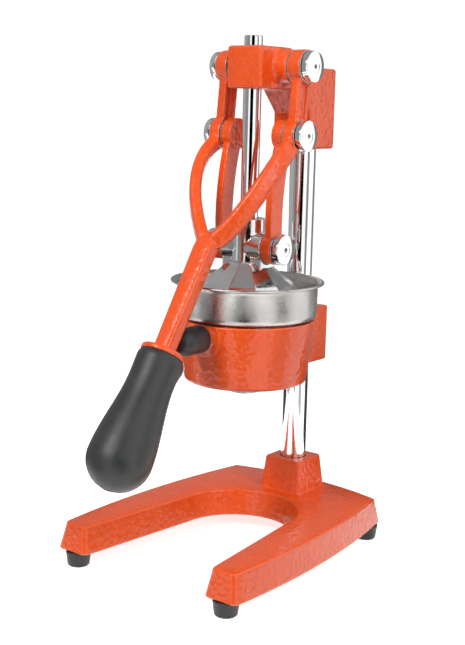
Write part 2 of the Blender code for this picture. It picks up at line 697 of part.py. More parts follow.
def arm_route(sign):
    """Control points of a fork arm's centre line, from its boss to the junction."""
    boss_x = (BOSS_INNER + EYE_OUTER) / 2
    start = Vector((sign * boss_x, MID_Y - ARM_ROOT, MID_PIVOT_Z - ARM_ROOT))
    end = JUNCTION + Vector((sign * FORK_GAP, JOIN, JOIN))
    run = end - start
    out = Vector((sign * (boss_x + ARM_BULGE), start.y + run.y * 0.64, start.z + run.z * 0.25))
    down = Vector((sign * boss_x * 0.57, start.y + run.y * 0.80, start.z + run.z * 0.84))
    return start, out, down, end


def fork_arm(sign):
    points = arm_route(sign)
    rings = []
    steps = 10
    for i in range(steps + 1):
        t = i / steps
        centre = bezier(points, t)
        along = (bezier(points, t + PAST) - bezier(points, t - PAST)).normalized()
        face = Vector((sign * sin(ARM_TURN), -cos(ARM_TURN), 0))
        face = (face - along * face.dot(along)).normalized()
        rings.append(oval_ring(centre, along.cross(face), face, ARM_BROAD, ARM_THIN))
    return loft(rings)


def rib(sign):
    """The short flat bar between the lever's top eye and its middle boss."""
    top = Vector((TOP_Y, TOP_PIVOT_Z))
    mid = Vector((MID_Y, MID_PIVOT_Z))
    along = (mid - top).normalized()
    across = Vector((-along.y, along.x)) * RIB_WIDTH / 2
    outline = [top - across, mid - across, mid + across, top + across]
    middle = (EYE_INNER + EYE_OUTER) / 2
    low, high = sorted((sign * (middle - RIB_THICK / 2), sign * (middle + RIB_THICK / 2)))
    return bevelled(prism_x([tuple(point) for point in outline], (low, high)), RIB_EDGE, 1)


def stem():
    rings = []
    for share, grow in ((0, 0.55), (0.06, 0.85), (0.14, 1), (0.55, 1), (1, 1)):
        s = lerp(-STEM_BEHIND, STEM_LENGTH + JOIN, share)
        wide = lerp(STEM_WIDE_TOP, STEM_WIDE_END, share) * grow
        rings.append(oval_ring(JUNCTION + HANDLE_DIR * s, SIDE, HANDLE_FACE, wide, STEM_THICK * grow, 16))
    return loft(rings)


def lever_casting():
    joins = []
    cuts = []
    for sign in SIDES.values():
        for y, z, inner in ((TOP_Y, TOP_PIVOT_Z, EYE_INNER), (MID_Y, MID_PIVOT_Z, BOSS_INNER)):
            joins.append(cylinder((sign * (inner - EYE_TRIM), y, z), (sign * (EYE_OUTER + EYE_TRIM), y, z),
                                  LEVER_EYE_RADIUS, ROUND))
            spans = ((inner - PIN_BORE_PAST, EYE_OUTER + PIN_BORE_PAST, BORE, SMALL),
                     (inner - SPOT_FACE_REACH, inner, SPOT_FACE, ROUND),
                     (EYE_OUTER, EYE_OUTER + SPOT_FACE_REACH, SPOT_FACE, ROUND))
            for low, high, radius, steps in spans:
                cuts.append(cylinder((sign * low, y, z), (sign * high, y, z), radius, steps))
        joins += [rib(sign), fork_arm(sign)]
    collar_start = JUNCTION + HANDLE_DIR * STEM_LENGTH
    joins.append(turned([(0, 0), (COLLAR_RADIUS - COLLAR_EDGE, 0), (COLLAR_RADIUS, COLLAR_EDGE),
                         (COLLAR_RADIUS, COLLAR_THICK),
                         (TANG_RADIUS, COLLAR_THICK), (TANG_RADIUS, COLLAR_THICK + TANG_LENGTH),
                         (0, COLLAR_THICK + TANG_LENGTH)], ROUND, collar_start, HANDLE_DIR))
    build("lever_casting", stem(), orange_enamel(), joins, cuts, (0, TOP_Y, TOP_PIVOT_Z), solver="MANIFOLD")


def grip():
    start = JUNCTION + HANDLE_DIR * GRIP_START
    count = ROUND
    rings = []
    for t in GRIP_STATIONS:
        centre = start + HANDLE_DIR * t * GRIP_LENGTH
        swell = GRIP_FLARE * max(0.0, 1 - abs(t - GRIP_FLARE_AT) / GRIP_FLARE_SPREAD)
        ring = []
        for i in range(count):
            angle = 2 * pi * i / count
            rearward = max(0.0, -cos(angle))
            radius = handle_radius(t) + swell * rearward
            ring.append(centre + (HANDLE_FACE * cos(angle) + SIDE * sin(angle)) * radius)
        rings.append(ring)
    bore = cylinder(start - HANDLE_DIR * PAST, start + HANDLE_DIR * (TANG_LENGTH + GAP), TANG_RADIUS + GAP,
                    ROUND)
    build("grip", loft(rings), charcoal_grip(), cuts=[bore], origin=(0, TOP_Y, TOP_PIVOT_Z))


def middle_pivot():
    """The open pivot: these pins ride in the lever's bosses and stop just short of the links."""
    for side, sign in SIDES.items():
        pin(f"mid_pin_{side}", sign, MID_Y, MID_PIVOT_Z, HEAD_INNER, LINK_OUTER + GAP)
    washers("mid", MID_Y, MID_PIVOT_Z, {"inner": BOSS_WASHER, "outer": OUTER_WASHER})


# ---------------------------------------------------------------- links

def link_bar(sign):
    """The bar between a link's eyes, bowed forward."""
    low = Vector((ROD_Y, LOW_PIVOT_Z))
    top = Vector((MID_Y, MID_PIVOT_Z))
    along = (top - low).normalized()
    front = Vector((-along.y, along.x))
    steps = 8
    edges = {1: [], -1: []}
    for i in range(steps + 1):
        t = i / steps
        middle = low.lerp(top, t) + front * LINK_BOW * 4 * t * (1 - t)
        for edge, points in edges.items():
            points.append(tuple(middle + front * edge * LINK_BAR_WIDTH / 2))
    outline = edges[-1] + edges[1][::-1]
    inset = (LINK_EYE_THICK - LINK_BAR_THICK) / 2
    x_low, x_high = sorted((sign * (LINK_INNER + inset), sign * (LINK_OUTER - inset)))
    return prism_x(outline, (x_low, x_high))


def links():
    for side, sign in SIDES.items():
        joins, cuts = [], []
        for y, z in ((ROD_Y, LOW_PIVOT_Z), (MID_Y, MID_PIVOT_Z)):
            joins.append(cylinder((sign * LINK_INNER, y, z), (sign * LINK_OUTER, y, z), LINK_EYE_RADIUS,
                                  ROUND))
        cuts.append(cylinder((sign * (LINK_INNER - PAST), ROD_Y, LOW_PIVOT_Z),
                             (sign * (LINK_OUTER + PAST), ROD_Y, LOW_PIVOT_Z), BORE, SMALL))
        build(f"link_{side}", link_bar(sign), orange_enamel(), joins, cuts,
              (sign * LINK_INNER, ROD_Y, LOW_PIVOT_Z))


# ---------------------------------------------------------------- press cone and guide rod

def bell_profile(shrink=0.0, drop=0.0):
    """The bell's outside from its rim up to its shoulder, as (radius, height)."""
    steps = ((0.00, BELL_RIM_RADIUS - 0.0010), (0.17, BELL_RIM_RADIUS), (0.33, BELL_RIM_RADIUS - 0.0030),
             (0.54, BELL_TOP_RADIUS + 0.0215), (1.00, BELL_TOP_RADIUS))
    return [(radius - shrink, BELL_RIM + share * BELL_HEIGHT - drop * share) for share, radius in steps]


def press_cone():
    axis = (0, ROD_Y, 0)
    phase = pi / BELL_SIDES
    outer = bell_profile()
    bell = turned([(0, outer[0][1])] + outer + [(0, outer[-1][1])], BELL_SIDES, axis, phase=phase)
    inner = bell_profile(BELL_WALL, BELL_TOP - BELL_ROOF)
    inner[-1] = (CONE_SCREW_HEAD + CONE_SCREW_ROOM, BELL_ROOF)
    cavity = turned([(0, BELL_RIM - PAST), (inner[0][0], BELL_RIM - PAST)] + inner + [(0, BELL_ROOF)],
                    BELL_SIDES, axis, phase=phase)
    hub_foot = BELL_ROOF + BELL_WALL
    hub = turned([(0, hub_foot), (HUB_RADIUS, hub_foot), (HUB_RADIUS, HUB_TOP - TURNED_EDGE),
                  (HUB_RADIUS - TURNED_EDGE, HUB_TOP), (0, HUB_TOP)], ROUND, axis)
    ear = cylinder((-EAR_HALF, ROD_Y, LOW_PIVOT_Z), (EAR_HALF, ROD_Y, LOW_PIVOT_Z), EAR_RADIUS, ROUND)
    web_half = EAR_RADIUS * 0.75
    web_low = BELL_TOP - EAR_WEB
    web = prism_x([(ROD_Y - web_half, web_low), (ROD_Y + web_half, web_low), (ROD_Y + web_half, LOW_PIVOT_Z),
                   (ROD_Y - web_half, LOW_PIVOT_Z)], EAR_HALF - EYE_TRIM)
    cuts = [cavity,
            cylinder((0, ROD_Y, ROD_SEAT), (0, ROD_Y, HUB_TOP + PAST), ROD_RADIUS + GAP, ROUND),
            cylinder((0, ROD_Y, BELL_ROOF - PAST), (0, ROD_Y, HUB_TOP), CONE_SCREW_RADIUS + THREAD_FIT, SMALL)]
    for sign in SIDES.values():
        cuts.append(cylinder((sign * (EAR_HALF - EAR_BORE_DEPTH), ROD_Y, LOW_PIVOT_Z),
                             (sign * (EAR_HALF + PAST), ROD_Y, LOW_PIVOT_Z), BORE, SMALL))
    build("press_cone", bell, chrome(), [web, ear, hub], cuts, (0, ROD_Y, LOW_PIVOT_Z))


def guide_rod():
    axis = (0, ROD_Y, 0)
    bottom = ROD_SEAT + GAP
    bore = CONE_SCREW_RADIUS + THREAD_FIT
    head_top = BELL_ROOF - GAP
    head_bottom = head_top - CONE_SCREW_HEAD_THICK
    screw_top = head_top + CONE_SCREW_LENGTH
    bore_top = screw_top + THREAD_END
    rod = turned([(0, ROD_TOP), (ROD_RADIUS - ROD_CHAMFER, ROD_TOP), (ROD_RADIUS, ROD_TOP - ROD_CHAMFER),
                  (ROD_RADIUS, bottom), (bore, bottom), (bore, bore_top), (0, bore_top)], ROUND, axis)
    build("guide_rod", rod, chrome(), origin=(0, ROD_Y, LOW_PIVOT_Z))
    screw = turned([(0, head_bottom), (CONE_SCREW_HEAD - CONE_SCREW_EDGE, head_bottom),
                    (CONE_SCREW_HEAD, head_bottom + CONE_SCREW_EDGE),
                    (CONE_SCREW_HEAD, head_top), (CONE_SCREW_RADIUS, head_top), (CONE_SCREW_RADIUS, screw_top),
                    (0, screw_top)], SMALL, axis)
    socket = cylinder((0, ROD_Y, head_bottom - PAST), (0, ROD_Y, head_bottom + CONE_SCREW_SOCKET_DEPTH),
                      CONE_SCREW_SOCKET, 6)
    build("cone_screw", screw, zinc(), cuts=[socket], origin=(0, ROD_Y, LOW_PIVOT_Z))


def lower_pivot():
    """These pins pass through the links into the cone's ears."""
    shank_end = EAR_HALF - EAR_BORE_DEPTH + GAP
    for side, sign in SIDES.items():
        pin(f"lower_pin_{side}", sign, ROD_Y, LOW_PIVOT_Z, LOW_HEAD, shank_end)
    washers("lower", ROD_Y, LOW_PIVOT_Z, {"outer": LOW_WASHER})


# ---------------------------------------------------------------- bowl holder

def holder_radius(z):
    """The ring's outer radius at height z."""
    return lerp(HOLDER_BOTTOM_RADIUS, HOLDER_TOP_RADIUS, (z - HOLDER_BOTTOM) / HOLDER_HEIGHT)


def bumper_centre():
    """Centre of the bumper's round end, which touches the back of the stem when the handle is down."""
    z = HOLDER_TOP_Z - BUMPER_Z_DROP
    stand_off = BUMPER_RADIUS + GAP + STEM_THICK / 2
    y = JUNCTION.y - (HANDLE_FACE.z * (JUNCTION.z - z) - stand_off) / SIN_PITCH
    return Vector((0, y, z))


def bumper_mouth():
    """Y of the bumper's open end, just off the ring."""
    return ROD_Y - holder_radius(HOLDER_TOP_Z - BUMPER_Z_DROP) - STUB_COLLAR


def holder_screw_heights():
    top = HOLDER_TOP_Z + HOLDER_CLAMP_TOP
    return [top - HOLDER_CLAMP_HEIGHT * share for share in (0.3, 0.7)]


def bowl_holder():
    axis = (0, ROD_Y, 0)
    edge = HOLDER_EDGE
    low = HOLDER_BOTTOM
    ring = turned([(0, low), (HOLDER_BOTTOM_RADIUS - edge, low),
                   (HOLDER_BOTTOM_RADIUS - edge * 0.35, low + edge * 0.3),
                   (holder_radius(low + edge), low + edge), (HOLDER_TOP_RADIUS, HOLDER_TOP_Z - HOLDER_LIP),
                   (HOLDER_TOP_RADIUS - HOLDER_LIP, HOLDER_TOP_Z), (0, HOLDER_TOP_Z)], FINE, axis)
    wall = HOLDER_BOTTOM_RADIUS - HOLDER_WALL_BOTTOM
    inside = turned([(0, low - PAST), (wall, low - PAST), (wall, low), (HOLDER_BORE - HOLDER_LEDGE, LEDGE_Z),
                     (HOLDER_BORE, LEDGE_Z), (HOLDER_BORE, HOLDER_TOP_Z + PAST), (0, HOLDER_TOP_Z + PAST)],
                    FINE, axis)
    top = HOLDER_TOP_Z + HOLDER_CLAMP_TOP
    clamp_front = ROD_Y + HOLDER_TOP_RADIUS - HOLDER_CLAMP_ROOT
    clamp_low = top - HOLDER_CLAMP_HEIGHT
    clamp_rear = POST_Y + CLAMP_HALF
    clamp = prism_x([(clamp_front, clamp_low), (clamp_rear, clamp_low), (clamp_rear, top), (clamp_front, top)],
                    CLAMP_HALF)
    centre = bumper_centre()
    mouth = bumper_mouth()
    stub_end = centre.y - BUMPER_RADIUS + BUMPER_ROOF + GAP
    reach = mouth - stub_end
    root = -STUB_COLLAR - HOLDER_WALL_TOP * 0.9
    stub = turned([(0, root), (STUB_FLARE, root), (STUB_FLARE, STUB_COLLAR_EDGE - STUB_COLLAR),
                   (BUMPER_RADIUS - STUB_STEP, -GAP), (STUB_RADIUS, -GAP), (STUB_RADIUS, reach), (0, reach)],
                  ROUND, (0, mouth, centre.z), (0, -1, 0))
    bore = cylinder((0, POST_Y, low - PAST), (0, POST_Y, top + PAST), POST_RADIUS + GAP, ROUND)
    bowl_room = turned([(0, BOWL_FLOOR - GAP), (BOWL_RADIUS + BOWL_ROOM, BOWL_FLOOR - GAP),
                        (BOWL_RADIUS + BOWL_ROOM, top + PAST), (0, top + PAST)], FINE, axis)
    cuts = [inside, bore, bowl_room] + set_screw_holes(holder_screw_heights())
    build("bowl_holder", ring, orange_enamel(), [bevelled(clamp, HOLDER_CLAMP_EDGE), stub], cuts, axis)
    set_screws("holder_set_screw", holder_screw_heights())


def bumper():
    """A rubber cap with a round end, pushed over the stub."""
    centre = bumper_centre()
    mouth = bumper_mouth()
    straight = mouth - centre.y
    tip = straight + BUMPER_RADIUS
    bore = STUB_RADIUS + GAP
    floor = tip - BUMPER_ROOF
    steps = 5
    dome = [(BUMPER_RADIUS * cos(pi / 2 * i / steps), straight + BUMPER_RADIUS * sin(pi / 2 * i / steps))
            for i in range(steps)]
    profile = [(0, floor), (bore, floor), (bore, 0), (BUMPER_RADIUS - BUMPER_EDGE, 0),
               (BUMPER_RADIUS, BUMPER_EDGE)]
    cap = turned(profile + dome + [(0, tip)], ROUND, (0, mouth, centre.z), (0, -1, 0))
    build("bumper", cap, black_rubber(), origin=(0, mouth, centre.z))


# ---------------------------------------------------------------- funnel and bowl

def funnel():
    under = LEDGE_Z + GAP
    flange = HOLDER_BORE - FUNNEL_ROOM
    cone_low = under - FUNNEL_CONE_HEIGHT
    low = HOLDER_BOTTOM - FUNNEL_BELOW_RING
    profile = [(flange, under), (FUNNEL_MOUTH + FUNNEL_BEND, under), (FUNNEL_MOUTH, under - FUNNEL_BEND),
               (FUNNEL_SPOUT, cone_low), (FUNNEL_SPOUT, low), (FUNNEL_SPOUT - SHEET, low),
               (FUNNEL_SPOUT - SHEET, cone_low + SHEET / 2),
               (FUNNEL_MOUTH - FUNNEL_BEND / 4, under + SHEET * 0.7),
               (FUNNEL_MOUTH + FUNNEL_BEND * 0.75, under + SHEET), (flange, under + SHEET)]
    build("funnel", turned(profile, FINE, (0, ROD_Y, 0)), brushed_steel(), origin=(0, ROD_Y, under))


def strainer_bowl():
    """A thin steel bowl with a flared rim, a spigot that drops into the ring, and a domed, holed middle."""
    floor = BOWL_FLOOR
    spigot = HOLDER_BORE - SPIGOT_ROOM
    low = floor - BOWL_SPIGOT_DEPTH
    straight = RIM_TOP - BOWL_FLARE
    dome = [(DOME_RADIUS * (1 - share), low + DOME_HEIGHT * height)
            for share, height in ((0, 0), (0.08, 0.25), (0.25, 0.58), (0.5, 0.84), (0.75, 0.96))]
    wall = BOWL_RADIUS - GAP
    outside = [(BOWL_RIM_RADIUS - RIM_LIP, RIM_TOP), (BOWL_RIM_RADIUS, RIM_TOP - RIM_LIP),
               (BOWL_RIM_RADIUS - RIM_LIP, RIM_TOP - 2 * RIM_LIP),
               (BOWL_RADIUS + RIM_STEP, RIM_TOP - 2 * RIM_LIP - 0.8 * SHEET),
               (BOWL_RADIUS, straight), (wall, floor + BOWL_EDGE),
               (BOWL_RADIUS - BOWL_EDGE * 0.3, floor + BOWL_EDGE * 0.3),
               (BOWL_RADIUS - BOWL_EDGE * 0.9, floor),
               (spigot, floor), (spigot, low)]
    crest = low + DOME_HEIGHT
    inside = [(spigot - SHEET, low + SHEET), (spigot - SHEET, floor + SHEET),
              (BOWL_RADIUS - BOWL_EDGE * 0.95, floor + SHEET),
              (BOWL_RADIUS - BOWL_EDGE * 0.3 - SHEET * 0.8, floor + BOWL_EDGE * 0.3 + SHEET * 0.8),
              (wall - SHEET, floor + BOWL_EDGE), (BOWL_RADIUS - SHEET, straight),
              (BOWL_RADIUS + RIM_STEP / 2, RIM_TOP - SHEET)]
    shell = outside + dome + [(0, crest), (0, crest + SHEET)]
    shell += [(radius + SHEET * 0.6, height + SHEET) for radius, height in reversed(dome)] + inside
    bowl = turned_shell(shell)
    punches = []
    for count, radius in ((FLOOR_HOLES, (DOME_RADIUS + spigot) / 2), (DOME_HOLES, DOME_RADIUS * 0.6)):
        for i in range(count):
            angle = 2 * pi * (i + 0.5) / count
            x, y = radius * cos(angle), ROD_Y + radius * sin(angle)
            punches.append(cylinder((x, y, low - PAST), (x, y, crest + PAST), STRAINER_HOLE, 6))
    build("strainer_bowl", bowl, brushed_steel(), cuts=[joined(punches)], origin=(0, ROD_Y, floor))


def turned_shell(profile):
    """Revolves a closed sheet section that meets the axis along one short edge."""
    on_axis = [i for i, (radius, height) in enumerate(profile) if radius == 0]
    start = on_axis[1]
    return turned(profile[start:] + profile[:start], FINE, (0, ROD_Y, 0))


def main():
    for old in list(bpy.data.objects):
        bpy.data.objects.remove(old)
    base_casting()
    feet()
    post_and_bolt()
    head_casting()
    top_pivot()
    lever_casting()
    grip()
    middle_pivot()
    links()
    press_cone()
    guide_rod()
    lower_pivot()
    bowl_holder()
    bumper()
    funnel()
    strainer_bowl()


main()
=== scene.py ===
"""The hand-lever citrus press with its looks: finer meshes, materials, floor, light and camera.

Sizes are in metres in the CAD model's own frame: +Z up, the handle hangs to -Y and the post stands at +Y.
"""

import json
from math import acos, cos, pi, radians, sin, sqrt

import bmesh
import bpy
from mathutils import Matrix, Vector


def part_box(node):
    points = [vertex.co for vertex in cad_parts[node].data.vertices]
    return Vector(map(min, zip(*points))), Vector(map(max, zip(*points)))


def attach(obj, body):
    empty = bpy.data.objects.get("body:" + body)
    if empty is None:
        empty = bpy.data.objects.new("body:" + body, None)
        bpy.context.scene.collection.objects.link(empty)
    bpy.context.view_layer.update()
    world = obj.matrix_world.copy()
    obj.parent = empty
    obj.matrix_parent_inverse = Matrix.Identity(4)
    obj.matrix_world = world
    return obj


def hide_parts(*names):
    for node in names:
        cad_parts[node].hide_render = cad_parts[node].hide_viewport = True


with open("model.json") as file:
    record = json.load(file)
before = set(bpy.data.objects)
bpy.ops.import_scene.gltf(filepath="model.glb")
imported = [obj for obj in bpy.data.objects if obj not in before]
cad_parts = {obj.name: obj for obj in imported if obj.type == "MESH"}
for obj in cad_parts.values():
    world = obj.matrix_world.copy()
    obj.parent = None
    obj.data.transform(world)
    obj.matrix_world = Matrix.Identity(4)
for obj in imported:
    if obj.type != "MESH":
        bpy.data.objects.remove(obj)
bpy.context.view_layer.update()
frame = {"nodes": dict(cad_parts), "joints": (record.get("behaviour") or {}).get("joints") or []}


# ---------------------------------------------------------------- places, from the frame

def middle(node):
    low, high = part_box(node)
    return (low + high) / 2


def half_width(node):
    low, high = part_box(node)
    return (high.x - low.x) / 2


def joint_place(name):
    return next(Vector(joint["pos_m"]) for joint in frame["joints"] if joint["name"] == name)


POST_Y = middle("post").y
ROD_Y = middle("guide_rod").y
TOP = joint_place("lever_pivot")
MID = Vector((0, middle("mid_pin_left").y, middle("mid_pin_left").z))
LOW = joint_place("link_pivot")
SIDES = {"left": -1, "right": 1}
X_AXIS = Vector((1, 0, 0))
GAP = 0.0003
SLIDE_ROOM = 0.0006      # round the post, the rod and the thin spigots
PIN_ROOM = 0.0005
PAST = 0.0100            # how far a cutter runs past the surface that it opens
END_BORE_DEPTH = 0.0200  # of the screw holes in the post's and the rod's lower ends

# Base
BASE_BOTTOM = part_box("base_casting")[0].z
BASE_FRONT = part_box("base_casting")[0].y - POST_Y
BASE_TOP = BASE_BOTTOM + 0.02225
PEDESTAL_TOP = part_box("base_casting")[1].z
BASE_HALF_FRONT = 0.0895
BASE_HALF_REAR = 0.0784
BASE_BOW = 0.0086
BASE_REAR = 0.0200
BASE_REAR_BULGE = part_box("base_casting")[1].y - POST_Y - BASE_REAR
BASE_DRAFT = 0.0039
BASE_EDGE = 0.0020
BASE_CORNER = 0.0050
LEG_INNER_FRONT = 0.0600
ARCH_HALF = 0.0475
ARCH_CENTRE = 0.0850
ARCH_DEPTH = 0.0495
PEDESTAL_HALF = 0.0205
PEDESTAL_TAPER = 0.0027
PEDESTAL_CORNER = 0.0030
PEDESTAL_FILLET = 0.0022
PEDESTAL_EDGE = 0.0010
BOTTOM_CHAMFER = 0.0008
BOTTOM_CHAMFER_RISE = 0.0012
BOLT_HOLE = 0.0045
BOLT_RECESS = 0.0115
POST_BOLT_BORE = 0.0043
ROD_SCREW_BORE = 0.0035

# Head
HEAD_BOTTOM = 0.3800
HEAD_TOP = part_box("head_casting")[1].z
HEAD_HALF = 0.0166
HEAD_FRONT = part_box("head_casting")[0].y
HEAD_SLOPE_START = TOP.y + 0.0130
CLAMP_HALF = 0.0188
CLAMP_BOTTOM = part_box("head_casting")[0].z
CLAMP_TOP = HEAD_TOP - 0.0142
GUSSET = 0.0180
GUSSET_ROOT = 0.0012         # the gusset's tip above the arm's underside
TRUNNION_RADIUS = 0.0132
TRUNNION_HALF = half_width("head_casting")
TRUNNION_FILLET = 0.0022
TRUNNION_BORE_DEPTH = 0.0140
ROOF_STEP = 0.0020           # the arm's top just under the clamp's, where they meet
SCREW_HOLE = 0.0044
SCREW_HOLE_REACH = 0.0400

# Pins and washers
PIN_RADIUS = 0.0050
PIN_SOCKET = 0.0022
PIN_SOCKET_DEPTH = 0.0024
PIN_RING_INNER = 0.0036
PIN_RING_OUTER = 0.0055
PIN_RING_DEPTH = 0.0003
PIN_RING_SLOPE = 0.0002
PIN_HEAD_THICK = 0.0060
PIN_EDGE = 0.0007
BORE = PIN_RADIUS + GAP

# Lever
EYE_RADIUS = 0.0132
EYE_OUTER = 0.0409
EYE_INNER = EYE_OUTER - 0.0106
BOSS_INNER = 0.0313
ARM_BROAD = 0.0150
ARM_THIN = 0.0098
ARM_TURN = radians(49)
ARM_BULGE = 0.0095
RIB_THICK = 0.0078
RIB_WIDTH = 0.0160
RIB_WEB = 0.0028
RIB_FLANGE = 0.0036
FORK_GAP = 0.0055
HANDLE_PITCH = radians(56.7)
HANDLE_DIR = Vector((0, -cos(HANDLE_PITCH), -sin(HANDLE_PITCH)))
HANDLE_FACE = Vector((0, -sin(HANDLE_PITCH), cos(HANDLE_PITCH)))
JUNCTION = TOP + Vector((0, -0.0698, -0.1357))
STEM_LENGTH = 0.0930
STEM_WIDE_TOP = 0.0190
STEM_WIDE_END = 0.0155
STEM_THICK = 0.0140
COLLAR_RADIUS = 0.0173
COLLAR_THICK = 0.0045
COLLAR_EDGE = 0.0010
TANG_RADIUS = 0.0058
TANG_LENGTH = 0.0850
STEM_BEHIND = 0.0080         # how far the stem starts behind the fork's junction
JOIN = 0.0010                # overlap of two pieces of one casting
ARM_ROOT = 0.0050            # boss axis to the arm's start, forward and down
SPOT_FACE = 0.0137           # radius kept clear round each pin head and washer
SPOT_FACE_REACH = 0.0120
EYE_TRIM = 0.0004            # machined off each side of an eye
BORE_PAST = 0.0050

# Grip
GRIP_LENGTH = 0.1080
GRIP_TOP_RADIUS = 0.0180
GRIP_WAIST = 0.0178
GRIP_BULB = 0.0248
GRIP_FLARE = 0.0026
GRIP_FLARE_AT = 0.06         # shares of the grip's length
GRIP_FLARE_SPREAD = 0.10
GRIP_EDGE_AT = 0.03
GRIP_WAIST_AT = 0.18
GRIP_BULB_FROM = 0.76
GRIP_EDGE = 0.0012

# Links
LINK_EYE_RADIUS = 0.0125
LINK_INNER = abs(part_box("link_left")[1].x)
LINK_OUTER = abs(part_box("link_left")[0].x)
LINK_BAR_THICK = 0.0062
LINK_BAR_WIDTH = 0.0160
LINK_BOW = 0.0050

# Cone
BELL_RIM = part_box("press_cone")[0].z
HUB_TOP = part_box("press_cone")[1].z
HUB_RADIUS = 0.0133
BELL_SIDES = 12
BELL_HEIGHT = 0.0370
BELL_TOP = BELL_RIM + BELL_HEIGHT
BELL_TOP_RADIUS = 0.0155
BELL_RIM_RADIUS = 0.0475
BELL_WALL = 0.0030
BELL_ROOF = BELL_TOP - 0.0090
BELL_ROOF_RADIUS = 0.0118
EAR_RADIUS = 0.0125
EAR_HALF = 0.0198
EAR_WEB = 0.0100             # how far the ears' web reaches down into the bell
HUB_ROOT = 0.0030            # bell's roof to the hub's hidden foot
HUB_EDGE = 0.0008
CONE_SCREW_HOLE = 0.0034

# Holder and bowl
HOLDER_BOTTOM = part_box("bowl_holder")[0].z
HOLDER_TOP = 0.1970
HOLDER_TOP_RADIUS = half_width("bowl_holder")
HOLDER_BOTTOM_RADIUS = 0.0503
HOLDER_WALL_TOP = 0.0045
HOLDER_WALL_BOTTOM = 0.0068
HOLDER_LEDGE = 0.0055
HOLDER_BORE = HOLDER_TOP_RADIUS - HOLDER_WALL_TOP
LEDGE_Z = HOLDER_TOP - 0.0140
HOLDER_CLAMP_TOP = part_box("bowl_holder")[1].z
HOLDER_CLAMP_HEIGHT = 0.0480
HOLDER_CLAMP_REACH = 0.0080  # how far the block runs forward past the clamp's square
HOLDER_CLAMP_EDGE = 0.0016
HOLDER_EDGE = 0.0040
HOLDER_LIP = 0.0012
BOWL_ROOM = 0.0010
STUB_FLARE = 0.0150
STUB_COLLAR = 0.0035
STUB_RADIUS = 0.0066
STUB_ROOM = 0.0005           # stub's end to the bumper's roof
BUMPER_RADIUS = half_width("bumper")
BUMPER_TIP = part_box("bumper")[0].y
BUMPER_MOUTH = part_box("bumper")[1].y
BUMPER_Z = middle("bumper").z
BUMPER_ROOF = 0.0140
BUMPER_EDGE = 0.0026
SHEET = 0.0012
RIM_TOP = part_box("strainer_bowl")[1].z
BOWL_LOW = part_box("strainer_bowl")[0].z
BOWL_RIM_RADIUS = half_width("strainer_bowl")
BOWL_RADIUS = 0.0573
BOWL_FLOOR = HOLDER_TOP + GAP
BOWL_FLARE = 0.0055
BOWL_EDGE = 0.0058
DOME_RADIUS = 0.0360
DOME_HEIGHT = 0.0270
STRAINER_HOLE = 0.0020
FLOOR_HOLES = 16
DOME_HOLES = 12

# Funnel
FUNNEL_MOUTH = 0.0450
FUNNEL_SPOUT = 0.0120
FUNNEL_CONE_HEIGHT = 0.0310

# Facets and voxels
VERY_FINE = 128
FINE = 96
ROUND = 64
SMALL = 32
HEXAGON = 6
HEAD_VOXEL = 0.0007
LEVER_VOXEL = 0.0008
SMALL_VOXEL = 0.0006
CAST_ANGLE = radians(48)
HEAD_EDGE = 0.0020

# Stage
CAMERA_AZIMUTH = radians(36.893)      # from -Y towards +X
CAMERA_PITCH = radians(10.285)
CAMERA_ROLL = radians(1.361)
CAMERA_PLACE = Vector((0.5605, POST_Y - 0.8408, 0.3640))
CAMERA_LENS = 65.71
FLOOR_SIZE = 8
BACKDROP_DISTANCE = 3.6
BACKDROP_SIZE = 12
CARD_DISTANCE = 0.50
CARD_HEIGHT = 1.30
LOW_CARD_DISTANCE = 0.30
LOW_CARD_HEIGHT = 0.09


# ---------------------------------------------------------------- materials

